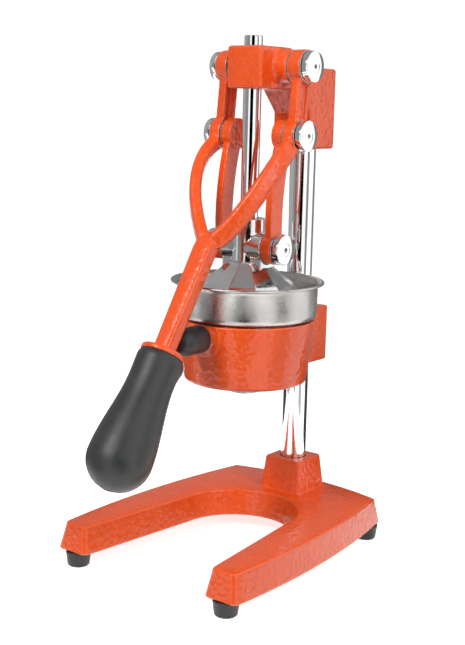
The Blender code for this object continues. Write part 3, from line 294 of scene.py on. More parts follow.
class Nodes:
    """A short way to lay out one material's nodes."""

    def __init__(self, name):
        self.material = bpy.data.materials.new(name)
        self.material.use_nodes = True
        self.tree = self.material.node_tree
        self.shader = self.tree.nodes["Principled BSDF"]
        self.coords = self.tree.nodes.new("ShaderNodeTexCoord").outputs["Object"]

    def link(self, out, into):
        self.tree.links.new(out, into)

    def set(self, **values):
        for key, value in values.items():
            self.shader.inputs[key.replace("_", " ")].default_value = value

    def add(self, kind, **values):
        made = self.tree.nodes.new("ShaderNode" + kind)
        for key, value in values.items():
            made.inputs[key.replace("_", " ")].default_value = value
        return made

    def noise(self, scale, detail=2.0, stretch=(1, 1, 1)):
        place = self.add("Mapping", Scale=stretch)
        self.link(self.coords, place.inputs["Vector"])
        made = self.add("TexNoise", Scale=scale, Detail=detail)
        self.link(place.outputs["Vector"], made.inputs["Vector"])
        return made.outputs["Fac"]

    def cells(self, scale):
        """Soft, round-bottomed dimples: the squared distance to each cell's centre."""
        made = self.add("TexVoronoi", Scale=scale)
        made.feature = "SMOOTH_F1"
        made.inputs["Smoothness"].default_value = 1.0
        self.link(self.coords, made.inputs["Vector"])
        bowl = self.add("Math")
        bowl.operation = "MULTIPLY"
        self.link(made.outputs["Distance"], bowl.inputs[0])
        self.link(made.outputs["Distance"], bowl.inputs[1])
        return bowl.outputs["Value"]

    def ramp(self, factor, low, high, from_low=0.35, from_high=0.65):
        made = self.add("MapRange", From_Min=from_low, From_Max=from_high, To_Min=low, To_Max=high)
        self.link(factor, made.inputs["Value"])
        return made.outputs["Result"]

    def colours(self, factor, low, high):
        made = self.add("ValToRGB")
        for element, place, colour in zip(made.color_ramp.elements, (0.3, 0.7), (low, high)):
            element.position = place
            element.color = (*colour, 1)
        self.link(factor, made.inputs["Fac"])
        return made.outputs["Color"]

    def bump(self, height, distance, strength=1.0, under=None):
        made = self.add("Bump", Distance=distance, Strength=strength)
        self.link(height, made.inputs["Height"])
        if under:
            self.link(under, made.inputs["Normal"])
        return made.outputs["Normal"]

    def blend(self, share, base, other):
        mix = self.add("Mix")
        mix.data_type = "RGBA"
        self.link(share, mix.inputs["Factor"])
        self.link(base, mix.inputs[6])
        mix.inputs[7].default_value = (*other, 1)
        return mix.outputs[2]

    def painted_recess_shade(self, base, shade, distance):
        """Paints shade into recesses: mixes a second, darker colour in where other surfaces are close, as in
        sockets and grooves.
        """
        open_air = self.add("AmbientOcclusion", Distance=distance)
        open_air.samples = 8
        return self.blend(self.ramp(open_air.outputs["AO"], 1.0, 0.0, 0.25, 0.60), base, shade)

    def painted_edge_highlight(self, base, edge, radius):
        """Paints a highlight on edges: mixes a second, lighter colour in where the surface turns sharply
        outward.
        """
        bevel = self.add("Bevel", Radius=radius)
        dot = self.add("VectorMath")
        dot.operation = "DOT_PRODUCT"
        self.link(bevel.outputs["Normal"], dot.inputs[0])
        self.link(self.add("NewGeometry").outputs["Normal"], dot.inputs[1])
        return self.blend(self.ramp(dot.outputs["Value"], 1.0, 0.0, 0.90, 0.995), base, edge)


def enamel():
    """Thick, glossy enamel over sand-cast metal: soft dimples, finer orange peel and a clear top coat, with
    painted shade in recesses and a painted highlight on sharp edges.
    """
    n = Nodes("hammered_orange_enamel")
    tone = n.colours(n.noise(60, 3), (0.86, 0.082, 0.003), (0.93, 0.100, 0.005))
    # Painted shade: a dark red mixed in where other surfaces are close, in creases and gaps.
    shaded = n.painted_recess_shade(tone, (0.42, 0.025, 0.001), 0.0060)
    # Painted highlight: a lighter orange on sharp outward edges.
    n.link(n.painted_edge_highlight(shaded, (1.0, 0.24, 0.06), 0.0012), n.shader.inputs["Base Color"])
    n.link(n.ramp(n.noise(240, 3), 0.26, 0.40), n.shader.inputs["Roughness"])
    dimples = n.bump(n.cells(300), 0.00055, 0.9)
    peel = n.bump(n.noise(900, 2), 0.00008, 0.6, dimples)
    n.link(peel, n.shader.inputs["Normal"])
    n.link(dimples, n.shader.inputs["Coat Normal"])
    n.set(Coat_Weight=0.55, Coat_Roughness=0.07, IOR=1.45)
    return n.material


def chrome():
    """Bright chrome plate with faint haze and wipe marks, and painted shade in its sockets and grooves."""
    n = Nodes("bright_chrome")
    tone = n.colours(n.noise(35, 4), (0.80, 0.81, 0.82), (0.90, 0.905, 0.91))
    # Painted shade: near black mixed in where other surfaces are close, in the hex socket and the ring
    # groove.
    n.link(n.painted_recess_shade(tone, (0.03, 0.03, 0.03), 0.0030), n.shader.inputs["Base Color"])
    n.link(n.ramp(n.noise(90, 5, (1, 1, 0.15)), 0.035, 0.085), n.shader.inputs["Roughness"])
    n.link(n.bump(n.noise(120, 3, (1, 1, 0.08)), 0.00003, 0.35), n.shader.inputs["Normal"])
    n.set(Metallic=1.0)
    return n.material


def polished_casting():
    """The press cone: polished cast metal with slightly uneven, satin flats."""
    n = Nodes("polished_casting")
    n.link(n.colours(n.noise(55, 4), (0.66, 0.665, 0.67), (0.80, 0.80, 0.80)), n.shader.inputs["Base Color"])
    n.link(n.ramp(n.noise(140, 5), 0.10, 0.22), n.shader.inputs["Roughness"])
    waves = n.bump(n.noise(85, 2), 0.0005, 0.30)
    n.link(n.bump(n.noise(1300, 2), 0.00004, 0.4, waves), n.shader.inputs["Normal"])
    n.set(Metallic=1.0)
    return n.material


def brushed_steel():
    """Spun stainless sheet: fine rings round the axis, with cloudy patches."""
    n = Nodes("brushed_stainless")
    n.link(n.colours(n.noise(45, 5), (0.47, 0.46, 0.44), (0.58, 0.57, 0.55)), n.shader.inputs["Base Color"])
    n.link(n.ramp(n.noise(70, 6), 0.24, 0.38), n.shader.inputs["Roughness"])
    rings = n.bump(n.noise(60, 4, (1, 1, 55)), 0.00006, 0.5)
    n.link(n.bump(n.noise(1500, 2), 0.00003, 0.5, rings), n.shader.inputs["Normal"])
    n.set(Metallic=1.0)
    return n.material


def zinc():
    """Bright zinc plate on fasteners and washers."""
    n = Nodes("bright_zinc")
    n.link(n.colours(n.noise(300, 4), (0.42, 0.43, 0.45), (0.62, 0.62, 0.62)), n.shader.inputs["Base Color"])
    n.link(n.ramp(n.noise(500, 3), 0.22, 0.38), n.shader.inputs["Roughness"])
    n.link(n.bump(n.noise(1600, 2), 0.00003, 0.5), n.shader.inputs["Normal"])
    n.set(Metallic=1.0)
    return n.material


def rubber():
    """Moulded black rubber with a fine matt grain."""
    n = Nodes("black_rubber")
    tone = n.colours(n.noise(160, 4), (0.010, 0.010, 0.010), (0.026, 0.026, 0.026))
    n.link(tone, n.shader.inputs["Base Color"])
    n.link(n.ramp(n.noise(700, 3), 0.34, 0.52), n.shader.inputs["Roughness"])
    n.link(n.bump(n.noise(2200, 2), 0.00004, 0.6), n.shader.inputs["Normal"])
    return n.material


def grip_plastic():
    """Charcoal grip with a satin, very finely grained skin."""
    n = Nodes("charcoal_grip")
    tone = n.colours(n.noise(40, 4), (0.022, 0.024, 0.023), (0.032, 0.035, 0.033))
    n.link(tone, n.shader.inputs["Base Color"])
    n.link(n.ramp(n.noise(260, 4), 0.36, 0.48), n.shader.inputs["Roughness"])
    n.link(n.bump(n.noise(2600, 2), 0.00003, 0.5), n.shader.inputs["Normal"])
    return n.material


# ---------------------------------------------------------------- solids

def lerp(a, b, t):
    return a + (b - a) * t


def clean(bm):
    bmesh.ops.remove_doubles(bm, verts=bm.verts, dist=1e-6)
    bmesh.ops.recalc_face_normals(bm, faces=bm.faces)
    return bm


def pose(origin, direction):
    turn = Vector(direction).to_track_quat("Z", "Y").to_matrix().to_4x4()
    return Matrix.Translation(origin) @ turn


def rounded(points, radii, steps=5, closed=True):
    """Replaces each corner that has a radius with an arc."""
    result = []
    count = len(points)
    for i, point in enumerate(points):
        here = Vector(point)
        radius = radii.get(i, 0)
        if radius == 0 or (not closed and i in (0, count - 1)):
            result.append(here)
            continue
        back = (Vector(points[i - 1]) - here).normalized()
        ahead = (Vector(points[(i + 1) % count]) - here).normalized()
        half = acos(max(-1, min(1, back.dot(ahead)))) / 2
        centre = here + (back + ahead).normalized() * radius / sin(half)
        reach = radius * cos(half) / sin(half)
        first, last = here + back * reach, here + ahead * reach
        for k in range(steps + 1):
            result.append(centre + (first.lerp(last, k / steps) - centre).normalized() * radius)
    return result


def turned(profile, steps=FINE, origin=(0, 0, 0), direction=(0, 0, 1), phase=0.0):
    """A solid of revolution from (radius, height) points that close on themselves or on the axis."""
    bm = bmesh.new()
    verts = [bm.verts.new((radius * cos(phase), radius * sin(phase), height)) for radius, height in profile]
    edges = [bm.edges.new(pair) for pair in zip(verts, verts[1:])]
    if profile[0][0] > 0 or profile[-1][0] > 0:
        edges.append(bm.edges.new((verts[-1], verts[0])))
    bmesh.ops.spin(bm, geom=verts + edges, cent=(0, 0, 0), axis=(0, 0, 1), angle=2 * pi, steps=steps,
                   use_merge=True)
    clean(bm)
    bm.transform(pose(origin, direction))
    return bm


def cylinder(start, end, radius, steps=ROUND):
    start, end = Vector(start), Vector(end)
    length = (end - start).length
    return turned([(0, 0), (radius, 0), (radius, length), (0, length)], steps, start, end - start)


def across_x(start, end, place, radius, steps=ROUND):
    """A cylinder from one x to another, on the axis through place."""
    return cylinder((start, place.y, place.z), (end, place.y, place.z), radius, steps)


def loft(rings):
    """A closed solid through rings of equally many points."""
    bm = bmesh.new()
    loops = [[bm.verts.new(point) for point in ring] for ring in rings]
    for lower, upper in zip(loops, loops[1:]):
        for i in range(len(lower)):
            j = (i + 1) % len(lower)
            bm.faces.new((lower[i], lower[j], upper[j], upper[i]))
    caps = [bm.faces.new(reversed(loops[0])), bm.faces.new(loops[-1])]
    bm.normal_update()
    bmesh.ops.triangulate(bm, faces=caps)
    return clean(bm)


def prism_x(outline, low, high):
    return loft([[(x, y, z) for y, z in outline] for x in (low, high)])


def joined(pieces):
    bm = bmesh.new()
    for piece in pieces:
        scratch = bpy.data.meshes.new("scratch")
        piece.to_mesh(scratch)
        bm.from_mesh(scratch)
        bpy.data.meshes.remove(scratch)
        piece.free()
    return bm


def object_of(name, bm):
    mesh = bpy.data.meshes.new(name)
    bm.to_mesh(mesh)
    bm.free()
    made = bpy.data.objects.new(name, mesh)
    bpy.context.scene.collection.objects.link(made)
    return made


def settle(obj):
    """Applies the modifiers of obj."""
    bpy.context.view_layer.update()
    depsgraph = bpy.context.evaluated_depsgraph_get()
    result = bpy.data.meshes.new_from_object(obj.evaluated_get(depsgraph))
    obj.modifiers.clear()
    rough = obj.data
    obj.data = result
    bpy.data.meshes.remove(rough)


def combine(home, solids, operation):
    """Joins closed solids to an object, or cuts them out of it."""
    tools = [object_of(home.name + "_tool", solid) for solid in solids]
    for tool in tools:
        step = home.modifiers.new("step", "BOOLEAN")
        step.operation = operation
        step.solver = "MANIFOLD"
        step.object = tool
    settle(home)
    for tool in tools:
        spent = tool.data
        bpy.data.objects.remove(tool)
        bpy.data.meshes.remove(spent)
    return home


def cut(home, cuts):
    return combine(home, cuts, "DIFFERENCE")


def fused(name, solids, cuts=()):
    """Joins crisp solids into one, then cuts it."""
    return cut(combine(object_of(name, solids[0]), solids[1:], "UNION"), cuts)


def cast(name, solids, cuts, voxel, smoothing):
    """Fuses solids into one skin with the fillets and soft edges of a painted casting, then machines it."""
    home = object_of(name, joined(solids))
    skin = home.modifiers.new("skin", "REMESH")
    skin.mode = "VOXEL"
    skin.voxel_size = voxel
    ease = home.modifiers.new("ease", "SMOOTH")
    ease.factor = 0.5
    ease.iterations = smoothing
    settle(home)
    return cut(home, cuts)


def bevelled(bm, width, segments=3, sharpest=radians(30)):
    edges = [edge for edge in bm.edges if edge.calc_face_angle(0) > sharpest]
    bmesh.ops.bevel(bm, geom=edges, offset=width, segments=segments, profile=0.5, affect="EDGES",
                    clamp_overlap=True)
    return clean(bm)


def finish_piece(obj, material, body, slot, *nodes, angle=radians(32)):
    """Gives a piece its material and its body, and hides the CAD nodes that it stands for."""
    obj.data.materials.clear()
    obj.data.materials.append(material)
    obj.data.shade_smooth()
    if angle:
        obj.data.set_sharp_from_angle(angle=angle)
    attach(obj, body)
    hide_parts(*nodes)
    return obj


# ---------------------------------------------------------------- base and feet

def inset_outline(points, distance):
    result = []
    count = len(points)
    for i, here in enumerate(points):
        back = (here - points[i - 1]).normalized()
        ahead = (points[(i + 1) % count] - here).normalized()
        left_back = Vector((-back.y, back.x))
        left_ahead = Vector((-ahead.y, ahead.x))
        mitre = left_back + left_ahead
        result.append(here + mitre * distance / max(0.2, mitre.dot(left_back)))
    return result


def base_ring(inset, z):
    """The base in plan at height z, anticlockwise."""
    steps = 12
    arch_steps = 64
    span = BASE_REAR - BASE_FRONT
    right = []
    for i in range(steps + 1):
        t = i / steps
        chord = lerp(BASE_HALF_FRONT, BASE_HALF_REAR, t)
        right.append((chord + 4 * BASE_BOW * t * (1 - t), BASE_FRONT + span * t))
    left = [(-x, y) for x, y in reversed(right)]
    rear = []
    for i in range(1, steps):
        t = i / steps
        rear.append((BASE_HALF_REAR * (1 - 2 * t), BASE_REAR + 4 * BASE_REAR_BULGE * t * (1 - t)))
    arch = []
    for i in range(arch_steps + 1):
        angle = pi - pi * i / arch_steps
        arch.append((ARCH_HALF * cos(angle), -ARCH_CENTRE + ARCH_DEPTH * sin(angle)))
    points = right + rear + left + [(-LEG_INNER_FRONT, BASE_FRONT)] + arch + [(LEG_INNER_FRONT, BASE_FRONT)]
    left_end = len(right) + len(rear) + len(left)
    corners = {i: BASE_CORNER for i in (0, left_end - 1, left_end, len(points) - 1)}
    moved = inset_outline([Vector((x, y + POST_Y)) for x, y in points], inset)
    return [(point.x, point.y, z) for point in rounded(moved, corners)]


def square_ring(half, corner, z):
    corners = [(half, -half), (half, half), (-half, half), (-half, -half)]
    ring = rounded(corners, {i: corner for i in range(4)})
    return [(point.x, point.y + POST_Y, z) for point in ring]


def quarter(steps, first=0):
    """Angles of a quarter turn, from flat to upright."""
    return [pi / 2 * i / steps for i in range(first, steps + 1)]


def base_casting(coat):
    lip = BASE_EDGE * 0.8
    levels = [(BOTTOM_CHAMFER, BASE_BOTTOM), (0, BASE_BOTTOM + BOTTOM_CHAMFER_RISE),
              (BASE_DRAFT, BASE_TOP - BASE_EDGE)]
    levels += [(BASE_DRAFT + lip * (1 - cos(a)), BASE_TOP - BASE_EDGE * (1 - sin(a))) for a in quarter(5, 1)]
    slab = loft([base_ring(inset, z) for inset, z in levels])
    shoulder = PEDESTAL_HALF - PEDESTAL_TAPER
    fillet, edge = PEDESTAL_FILLET, PEDESTAL_EDGE
    pedestal_levels = [(PEDESTAL_HALF + fillet, BASE_TOP - BASE_EDGE)]
    pedestal_levels += [(PEDESTAL_HALF + fillet * (1 - sin(a)), BASE_TOP + fillet * (1 - cos(a)))
                        for a in quarter(5)]
    pedestal_levels += [(shoulder - edge * (1 - cos(a)), PEDESTAL_TOP - edge * (1 - sin(a)))
                        for a in quarter(4)]
    pedestal = loft([square_ring(half, PEDESTAL_CORNER, z) for half, z in pedestal_levels])
    washer_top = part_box("post_washer")[1].z
    socket_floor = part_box("post")[0].z - GAP
    socket = half_width("post") + SLIDE_ROOM
    cuts = [cylinder((0, POST_Y, socket_floor), (0, POST_Y, PEDESTAL_TOP + PAST), socket),
            cylinder((0, POST_Y, BASE_BOTTOM), (0, POST_Y, PEDESTAL_TOP), BOLT_HOLE, SMALL),
            cylinder((0, POST_Y, BASE_BOTTOM - PAST), (0, POST_Y, washer_top + GAP), BOLT_RECESS)]
    base = fused("base_casting_fine", [slab, pedestal], cuts)
    return finish_piece(base, coat, "frame", "orange_enamel", "base_casting", angle=radians(40))


def feet(skin):
    """Rubber feet: tapered, with a short step under the top rim and a well for the screw's head."""
    low_radius, top_radius, height = 0.0088, 0.0102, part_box("foot_front_left")[1].z
    well, ceiling, hole = 0.0046, 0.0050, 0.0024
    edge, step = 0.0004, 0.0002
    taper_end, step_low, step_high = height * 0.78, height * 0.84, height * 0.86
    for end in ("front", "rear"):
        for side in SIDES:
            node = f"foot_{end}_{side}"
            place = middle(node)
            profile = [(well, edge), (low_radius - 0.0010, 0), (low_radius, 0.0010),
                       (lerp(low_radius, top_radius, 0.78), taper_end), (top_radius - step, step_low),
                       (top_radius, step_high), (top_radius, height - edge), (top_radius - edge, height),
                       (hole, height), (hole, ceiling), (well, ceiling)]
            foot = object_of(node + "_fine", turned(profile, ROUND, (place.x, place.y, 0)))
            finish_piece(foot, skin, "frame", "black_rubber", node)


def rod_profile(node, hole, top_edge, low_edge):
    """A round bar with eased ends and a screw hole in its lower end."""
    low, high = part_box(node)
    radius = half_width(node)
    hole_top = low.z + END_BORE_DEPTH
    corners = [(0, high.z), (radius, high.z), (radius, low.z), (hole, low.z), (hole, hole_top), (0, hole_top)]
    return [tuple(point) for point in rounded(corners, {1: top_edge, 2: low_edge}, 4, closed=False)]


def post(plate):
    profile = rod_profile("post", POST_BOLT_BORE, 0.0008, 0.0008)
    bar = object_of("post_fine", turned(profile, VERY_FINE, (0, POST_Y, 0)))
    finish_piece(bar, plate, "frame", "polished_metal", "post")


# ---------------------------------------------------------------- head

def head_casting(coat):
    clamp_front, clamp_rear = POST_Y - CLAMP_HALF, POST_Y + CLAMP_HALF
    arm = prism_x([(HEAD_FRONT, HEAD_BOTTOM), (POST_Y, HEAD_BOTTOM), (POST_Y, CLAMP_TOP - ROOF_STEP),
                   (clamp_front, CLAMP_TOP - ROOF_STEP / 2), (HEAD_SLOPE_START, HEAD_TOP),
                   (HEAD_FRONT, HEAD_TOP)], -HEAD_HALF, HEAD_HALF)
    clamp = prism_x([(clamp_front, CLAMP_BOTTOM), (clamp_rear, CLAMP_BOTTOM), (clamp_rear, CLAMP_TOP),
                     (clamp_front, CLAMP_TOP), (clamp_front - GUSSET, HEAD_BOTTOM + GUSSET_ROOT),
                     (clamp_front, HEAD_BOTTOM - GUSSET)], -CLAMP_HALF, CLAMP_HALF)
    root, fillet = HEAD_HALF - 0.0002, TRUNNION_FILLET
    trunnion = turned([(0, -TRUNNION_HALF), (TRUNNION_RADIUS, -TRUNNION_HALF),
                       (TRUNNION_RADIUS, -HEAD_HALF - fillet), (TRUNNION_RADIUS + fillet, -root),
                       (TRUNNION_RADIUS + fillet, root), (TRUNNION_RADIUS, HEAD_HALF + fillet),
                       (TRUNNION_RADIUS, TRUNNION_HALF), (0, TRUNNION_HALF)], FINE, TOP, X_AXIS)
    post_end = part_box("post")[1].z + SLIDE_ROOM
    cuts = [cylinder((0, ROD_Y, HEAD_BOTTOM - PAST), (0, ROD_Y, HEAD_TOP + PAST),
                     half_width("guide_rod") + SLIDE_ROOM),
            cylinder((0, POST_Y, CLAMP_BOTTOM - PAST), (0, POST_Y, post_end),
                     half_width("post") + SLIDE_ROOM)]
    for sign in SIDES.values():
        cuts.append(across_x(sign * (TRUNNION_HALF - TRUNNION_BORE_DEPTH), sign * (TRUNNION_HALF + PAST), TOP,
                             PIN_RADIUS + PIN_ROOM))
    cuts += screw_holes("head_set_screw")
    solids = [bevelled(arm, HEAD_EDGE), bevelled(clamp, HEAD_EDGE), trunnion]
    head = cast("head_casting_fine", solids, cuts, HEAD_VOXEL, 7)
    return finish_piece(head, coat, "frame", "orange_enamel", "head_casting", angle=CAST_ANGLE)


def screw_holes(prefix):
    holes = []
    for place in ("lower", "upper"):
        z = middle(f"{prefix}_{place}").z
        holes.append(cylinder((0, POST_Y, z), (0, POST_Y + SCREW_HOLE_REACH, z), SCREW_HOLE, SMALL))
    return holes


def set_screws(prefix, plate):
    depth, edge, socket_radius = 0.0035, 0.0006, 0.0020
    for place in ("lower", "upper"):
        node = f"{prefix}_{place}"
        low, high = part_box(node)
        radius = half_width(node)
        z = middle(node).z
        length = high.y - low.y
        profile = [(0, 0), (radius, 0), (radius, length - edge), (radius - edge, length), (0, length)]
        body = turned(profile, SMALL, (0, low.y, z), (0, 1, 0))
        socket = cylinder((0, high.y - depth, z), (0, high.y + PAST, z), socket_radius, HEXAGON)
        screw = cut(object_of(node + "_fine", body), [socket])
        finish_piece(screw, plate, "frame", "zinc_fasteners", node)


# ---------------------------------------------------------------- pins and washers

def pins(plate):
    """Chromed pivot pins: a chamfered disc head with a shallow ring and a hexagon socket."""
    tip, dish = 0.0005, 0.0001
    for pivot, body in (("top", "frame"), ("mid", "lever"), ("lower", "links")):
        for side, sign in SIDES.items():
            node = f"{pivot}_pin_{side}"
            low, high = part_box(node)
            place = middle(node)
            reach = high.x - low.x
            radius = (high.z - low.z) / 2
            inner = reach - PIN_HEAD_THICK
            face = reach - PIN_RING_DEPTH
            eased = PIN_EDGE * 0.3
            profile = [(0, 0), (PIN_RADIUS - tip, 0), (PIN_RADIUS, tip), (PIN_RADIUS, inner),
                       (radius - PIN_EDGE, inner), (radius, inner + PIN_EDGE), (radius, reach - PIN_EDGE),
                       (radius - eased, reach - eased), (radius - PIN_EDGE, reach), (PIN_RING_OUTER, reach),
                       (PIN_RING_OUTER - PIN_RING_SLOPE, face), (PIN_RING_INNER, face),
                       (PIN_RING_INNER - PIN_RING_SLOPE, reach - dish), (0, reach - dish)]
            out = X_AXIS * sign
            start = Vector((high.x if sign < 0 else low.x, place.y, place.z))
            disc = turned(profile, FINE, start, out)
            outer = start + out * reach
            socket = cylinder(outer - out * PIN_SOCKET_DEPTH, outer + out * PAST, PIN_SOCKET, HEXAGON)
            pin = cut(object_of(node + "_fine", disc), [socket])
            finish_piece(pin, plate, body, "polished_metal", node)


def washers(plate):
    edge = 0.0002
    places = (("top", "frame", ("inner", "outer")), ("mid", "lever", ("inner", "outer")),
              ("lower", "links", ("outer",)))
    for pivot, body, rings in places:
        for ring in rings:
            for side in SIDES:
                node = f"{pivot}_washer_{ring}_{side}"
                low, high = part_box(node)
                radius = (high.z - low.z) / 2
                thick = high.x - low.x
                profile = [(BORE, 0), (radius - edge, 0), (radius, edge), (radius, thick - edge),
                           (radius - edge, thick), (BORE, thick)]
                centre = middle(node)
                disc = turned(profile, FINE, (low.x, centre.y, centre.z), X_AXIS)
                finish_piece(object_of(node + "_fine", disc), plate, body, "zinc_fasteners", node)


# ---------------------------------------------------------------- lever and grip

def oval_ring(centre, broad_dir, thin_dir, broad, thin, count=SMALL, square=0.55):
    """A ring of a rounded-rectangle section."""
    ring = []
    for i in range(count):
        angle = 2 * pi * (i + 0.5) / count
        c, s = cos(angle), sin(angle)
        across = abs(c) ** square * (1 if c > 0 else -1) * broad / 2
        through = abs(s) ** square * (1 if s > 0 else -1) * thin / 2
        ring.append(centre + broad_dir * across + thin_dir * through)
    return ring


def bezier(points, t):
    a, b, c, d = points
    return a * (1 - t) ** 3 + b * 3 * t * (1 - t) ** 2 + c * 3 * t * t * (1 - t) + d * t ** 3


def arm_route(sign):
    """Control points of a fork arm's centre line, from its boss to the junction."""
    boss_x = (BOSS_INNER + EYE_OUTER) / 2
    start = Vector((sign * boss_x, MID.y - ARM_ROOT, MID.z - ARM_ROOT))
    end = JUNCTION + Vector((sign * FORK_GAP, JOIN, JOIN))
    run = end - start
    out = Vector((sign * (boss_x + ARM_BULGE), start.y + run.y * 0.64, start.z + run.z * 0.25))
    down = Vector((sign * boss_x * 0.57, start.y + run.y * 0.80, start.z + run.z * 0.84))
    return start, out, down, end


def fork_arm(sign):
    points = arm_route(sign)
    rings = []
    steps = 28
    for i in range(steps + 1):
        t = i / steps
        along = (bezier(points, t + 0.01) - bezier(points, t - 0.01)).normalized()
        face = Vector((sign * sin(ARM_TURN), -cos(ARM_TURN), 0))
        face = (face - along * face.dot(along)).normalized()
        rings.append(oval_ring(bezier(points, t), along.cross(face), face, ARM_BROAD, ARM_THIN))
    return loft(rings)


def ribs(sign):
    """An I-shaped web between an eye and its boss: a thin plate with a thicker flange along each edge."""
    along = Vector((MID.y - TOP.y, MID.z - TOP.z)).normalized()
    across = Vector((-along.y, along.x))
    top, mid = Vector((TOP.y, TOP.z)), Vector((MID.y, MID.z))
    centre = (EYE_INNER + EYE_OUTER) / 2
    half = RIB_WIDTH / 2
    strips = ((-half, half, RIB_WEB), (-half, -half + RIB_FLANGE, RIB_THICK),
              (half - RIB_FLANGE, half, RIB_THICK))
    solids = []
    for left, right, thick in strips:
        outline = [tuple(p) for p in (top + across * left, mid + across * left, mid + across * right,
                                      top + across * right)]
        low, high = sorted((sign * (centre - thick / 2), sign * (centre + thick / 2)))
        solids.append(prism_x(outline, low, high))
    return solids


def stem():
    rings = []
    for share, grow in ((0, 0.55), (0.03, 0.72), (0.06, 0.86), (0.10, 0.95), (0.15, 1), (0.55, 1), (1, 1)):
        s = lerp(-STEM_BEHIND, STEM_LENGTH + JOIN, share)
        wide = lerp(STEM_WIDE_TOP, STEM_WIDE_END, share) * grow
        rings.append(oval_ring(JUNCTION + HANDLE_DIR * s, X_AXIS, HANDLE_FACE, wide, STEM_THICK * grow))
    return loft(rings)


def lever_casting(coat):
    joins, cuts = [stem()], []
    for sign in SIDES.values():
        out = X_AXIS * sign
        for place, inner in ((TOP, EYE_INNER), (MID, BOSS_INNER)):
            inside = Vector((sign * inner, place.y, place.z))
            outside = Vector((sign * EYE_OUTER, place.y, place.z))
            joins.append(cylinder(inside - out * EYE_TRIM, outside + out * EYE_TRIM, EYE_RADIUS, FINE))
            cuts.append(cylinder(inside - out * BORE_PAST, outside + out * BORE_PAST, PIN_RADIUS + PIN_ROOM))
            cuts.append(cylinder(inside - out * SPOT_FACE_REACH, inside, SPOT_FACE, FINE))
            cuts.append(cylinder(outside, outside + out * SPOT_FACE_REACH, SPOT_FACE, FINE))
        joins += ribs(sign) + [fork_arm(sign)]
    tang_end = COLLAR_THICK + TANG_LENGTH
    joins.append(turned([(0, 0), (COLLAR_RADIUS - COLLAR_EDGE, 0), (COLLAR_RADIUS, COLLAR_EDGE),
                         (COLLAR_RADIUS, COLLAR_THICK), (TANG_RADIUS, COLLAR_THICK), (TANG_RADIUS, tang_end),
                         (0, tang_end)], FINE, JUNCTION + HANDLE_DIR * STEM_LENGTH, HANDLE_DIR))
    lever = cast("lever_casting_fine", joins, cuts, LEVER_VOXEL, 5)
    return finish_piece(lever, coat, "lever", "orange_enamel", "lever_casting", angle=CAST_ANGLE)


def handle_radius(t):
    """The grip's radius at t along it, from its top (0) to its tip (1)."""
    bulb_at = 1 - GRIP_BULB / GRIP_LENGTH
    if t > bulb_at:
        past = (t - bulb_at) * GRIP_LENGTH
        return sqrt(max(0.0, GRIP_BULB ** 2 - past ** 2))
    if t < GRIP_EDGE_AT:
        return lerp(GRIP_TOP_RADIUS - GRIP_EDGE, GRIP_TOP_RADIUS, t / GRIP_EDGE_AT)
    if t < GRIP_WAIST_AT:
        return lerp(GRIP_TOP_RADIUS, GRIP_WAIST, t / GRIP_WAIST_AT)
    swell = (t - GRIP_WAIST_AT) / (bulb_at - GRIP_WAIST_AT)
    return lerp(GRIP_WAIST, GRIP_BULB, swell * swell * (3 - 2 * swell))


def grip(skin):
    start = JUNCTION + HANDLE_DIR * (STEM_LENGTH + COLLAR_THICK + GAP)
    count = FINE
    rings = []
    barrel, dome = GRIP_BULB_FROM - GRIP_EDGE_AT, 1 - GRIP_BULB_FROM
    stations = [0, 0.006, 0.015, GRIP_EDGE_AT] + [GRIP_EDGE_AT + barrel * i / 36 for i in range(1, 37)]
    stations += [1 - dome * cos(pi / 2 * i / 20) for i in range(1, 20)] + [0.9985]
    for t in stations:
        centre = start + HANDLE_DIR * t * GRIP_LENGTH
        swell = GRIP_FLARE * max(0.0, 1 - abs(t - GRIP_FLARE_AT) / GRIP_FLARE_SPREAD) ** 1.5
        ring = []
        for i in range(count):
            angle = 2 * pi * i / count
            radius = handle_radius(t) + swell * max(0.0, -cos(angle))
            ring.append(centre + (HANDLE_FACE * cos(angle) + X_AXIS * sin(angle)) * radius)
        rings.append(ring)
    handle = object_of("grip_fine", loft(rings))
    return finish_piece(handle, skin, "lever", "grip", "grip", angle=radians(50))


# ---------------------------------------------------------------- links

def links(coat):
    low, top = Vector((LOW.y, LOW.z)), Vector((MID.y, MID.z))
    along = (top - low).normalized()
    front = Vector((-along.y, along.x))
    steps = 32
    inset = (LINK_OUTER - LINK_INNER - LINK_BAR_THICK) / 2
    edges = {1: [], -1: []}
    for i in range(steps + 1):
        t = i / steps
        centre = low.lerp(top, t) + front * LINK_BOW * 4 * t * (1 - t)
        for edge, points in edges.items():
            points.append(tuple(centre + front * edge * LINK_BAR_WIDTH / 2))
    for side, sign in SIDES.items():
        x_low, x_high = sorted((sign * (LINK_INNER + inset), sign * (LINK_OUTER - inset)))
        joins = [prism_x(edges[-1] + edges[1][::-1], x_low, x_high)]
        joins += [across_x(sign * LINK_INNER, sign * LINK_OUTER, place, LINK_EYE_RADIUS, FINE)
                  for place in (LOW, MID)]
        bore = across_x(sign * (LINK_INNER - PAST), sign * (LINK_OUTER + PAST), LOW, PIN_RADIUS + PIN_ROOM)
        link = cast(f"link_{side}_fine", joins, [bore], SMALL_VOXEL, 5)
        finish_piece(link, coat, "links", "orange_enamel", f"link_{side}", angle=CAST_ANGLE)


# ---------------------------------------------------------------- press cone and rod

def bell_profile(shrink=0.0, drop=0.0):
    """(radius, height) points up the bell's side. The inside is the outside shrunk and lowered."""
    steps = ((0.00, BELL_RIM_RADIUS - 0.0010), (0.17, BELL_RIM_RADIUS), (0.33, BELL_RIM_RADIUS - 0.0030),
             (0.54, BELL_TOP_RADIUS + 0.0215), (1.00, BELL_TOP_RADIUS))
    return [(radius - shrink, BELL_RIM + share * BELL_HEIGHT - drop * share) for share, radius in steps]


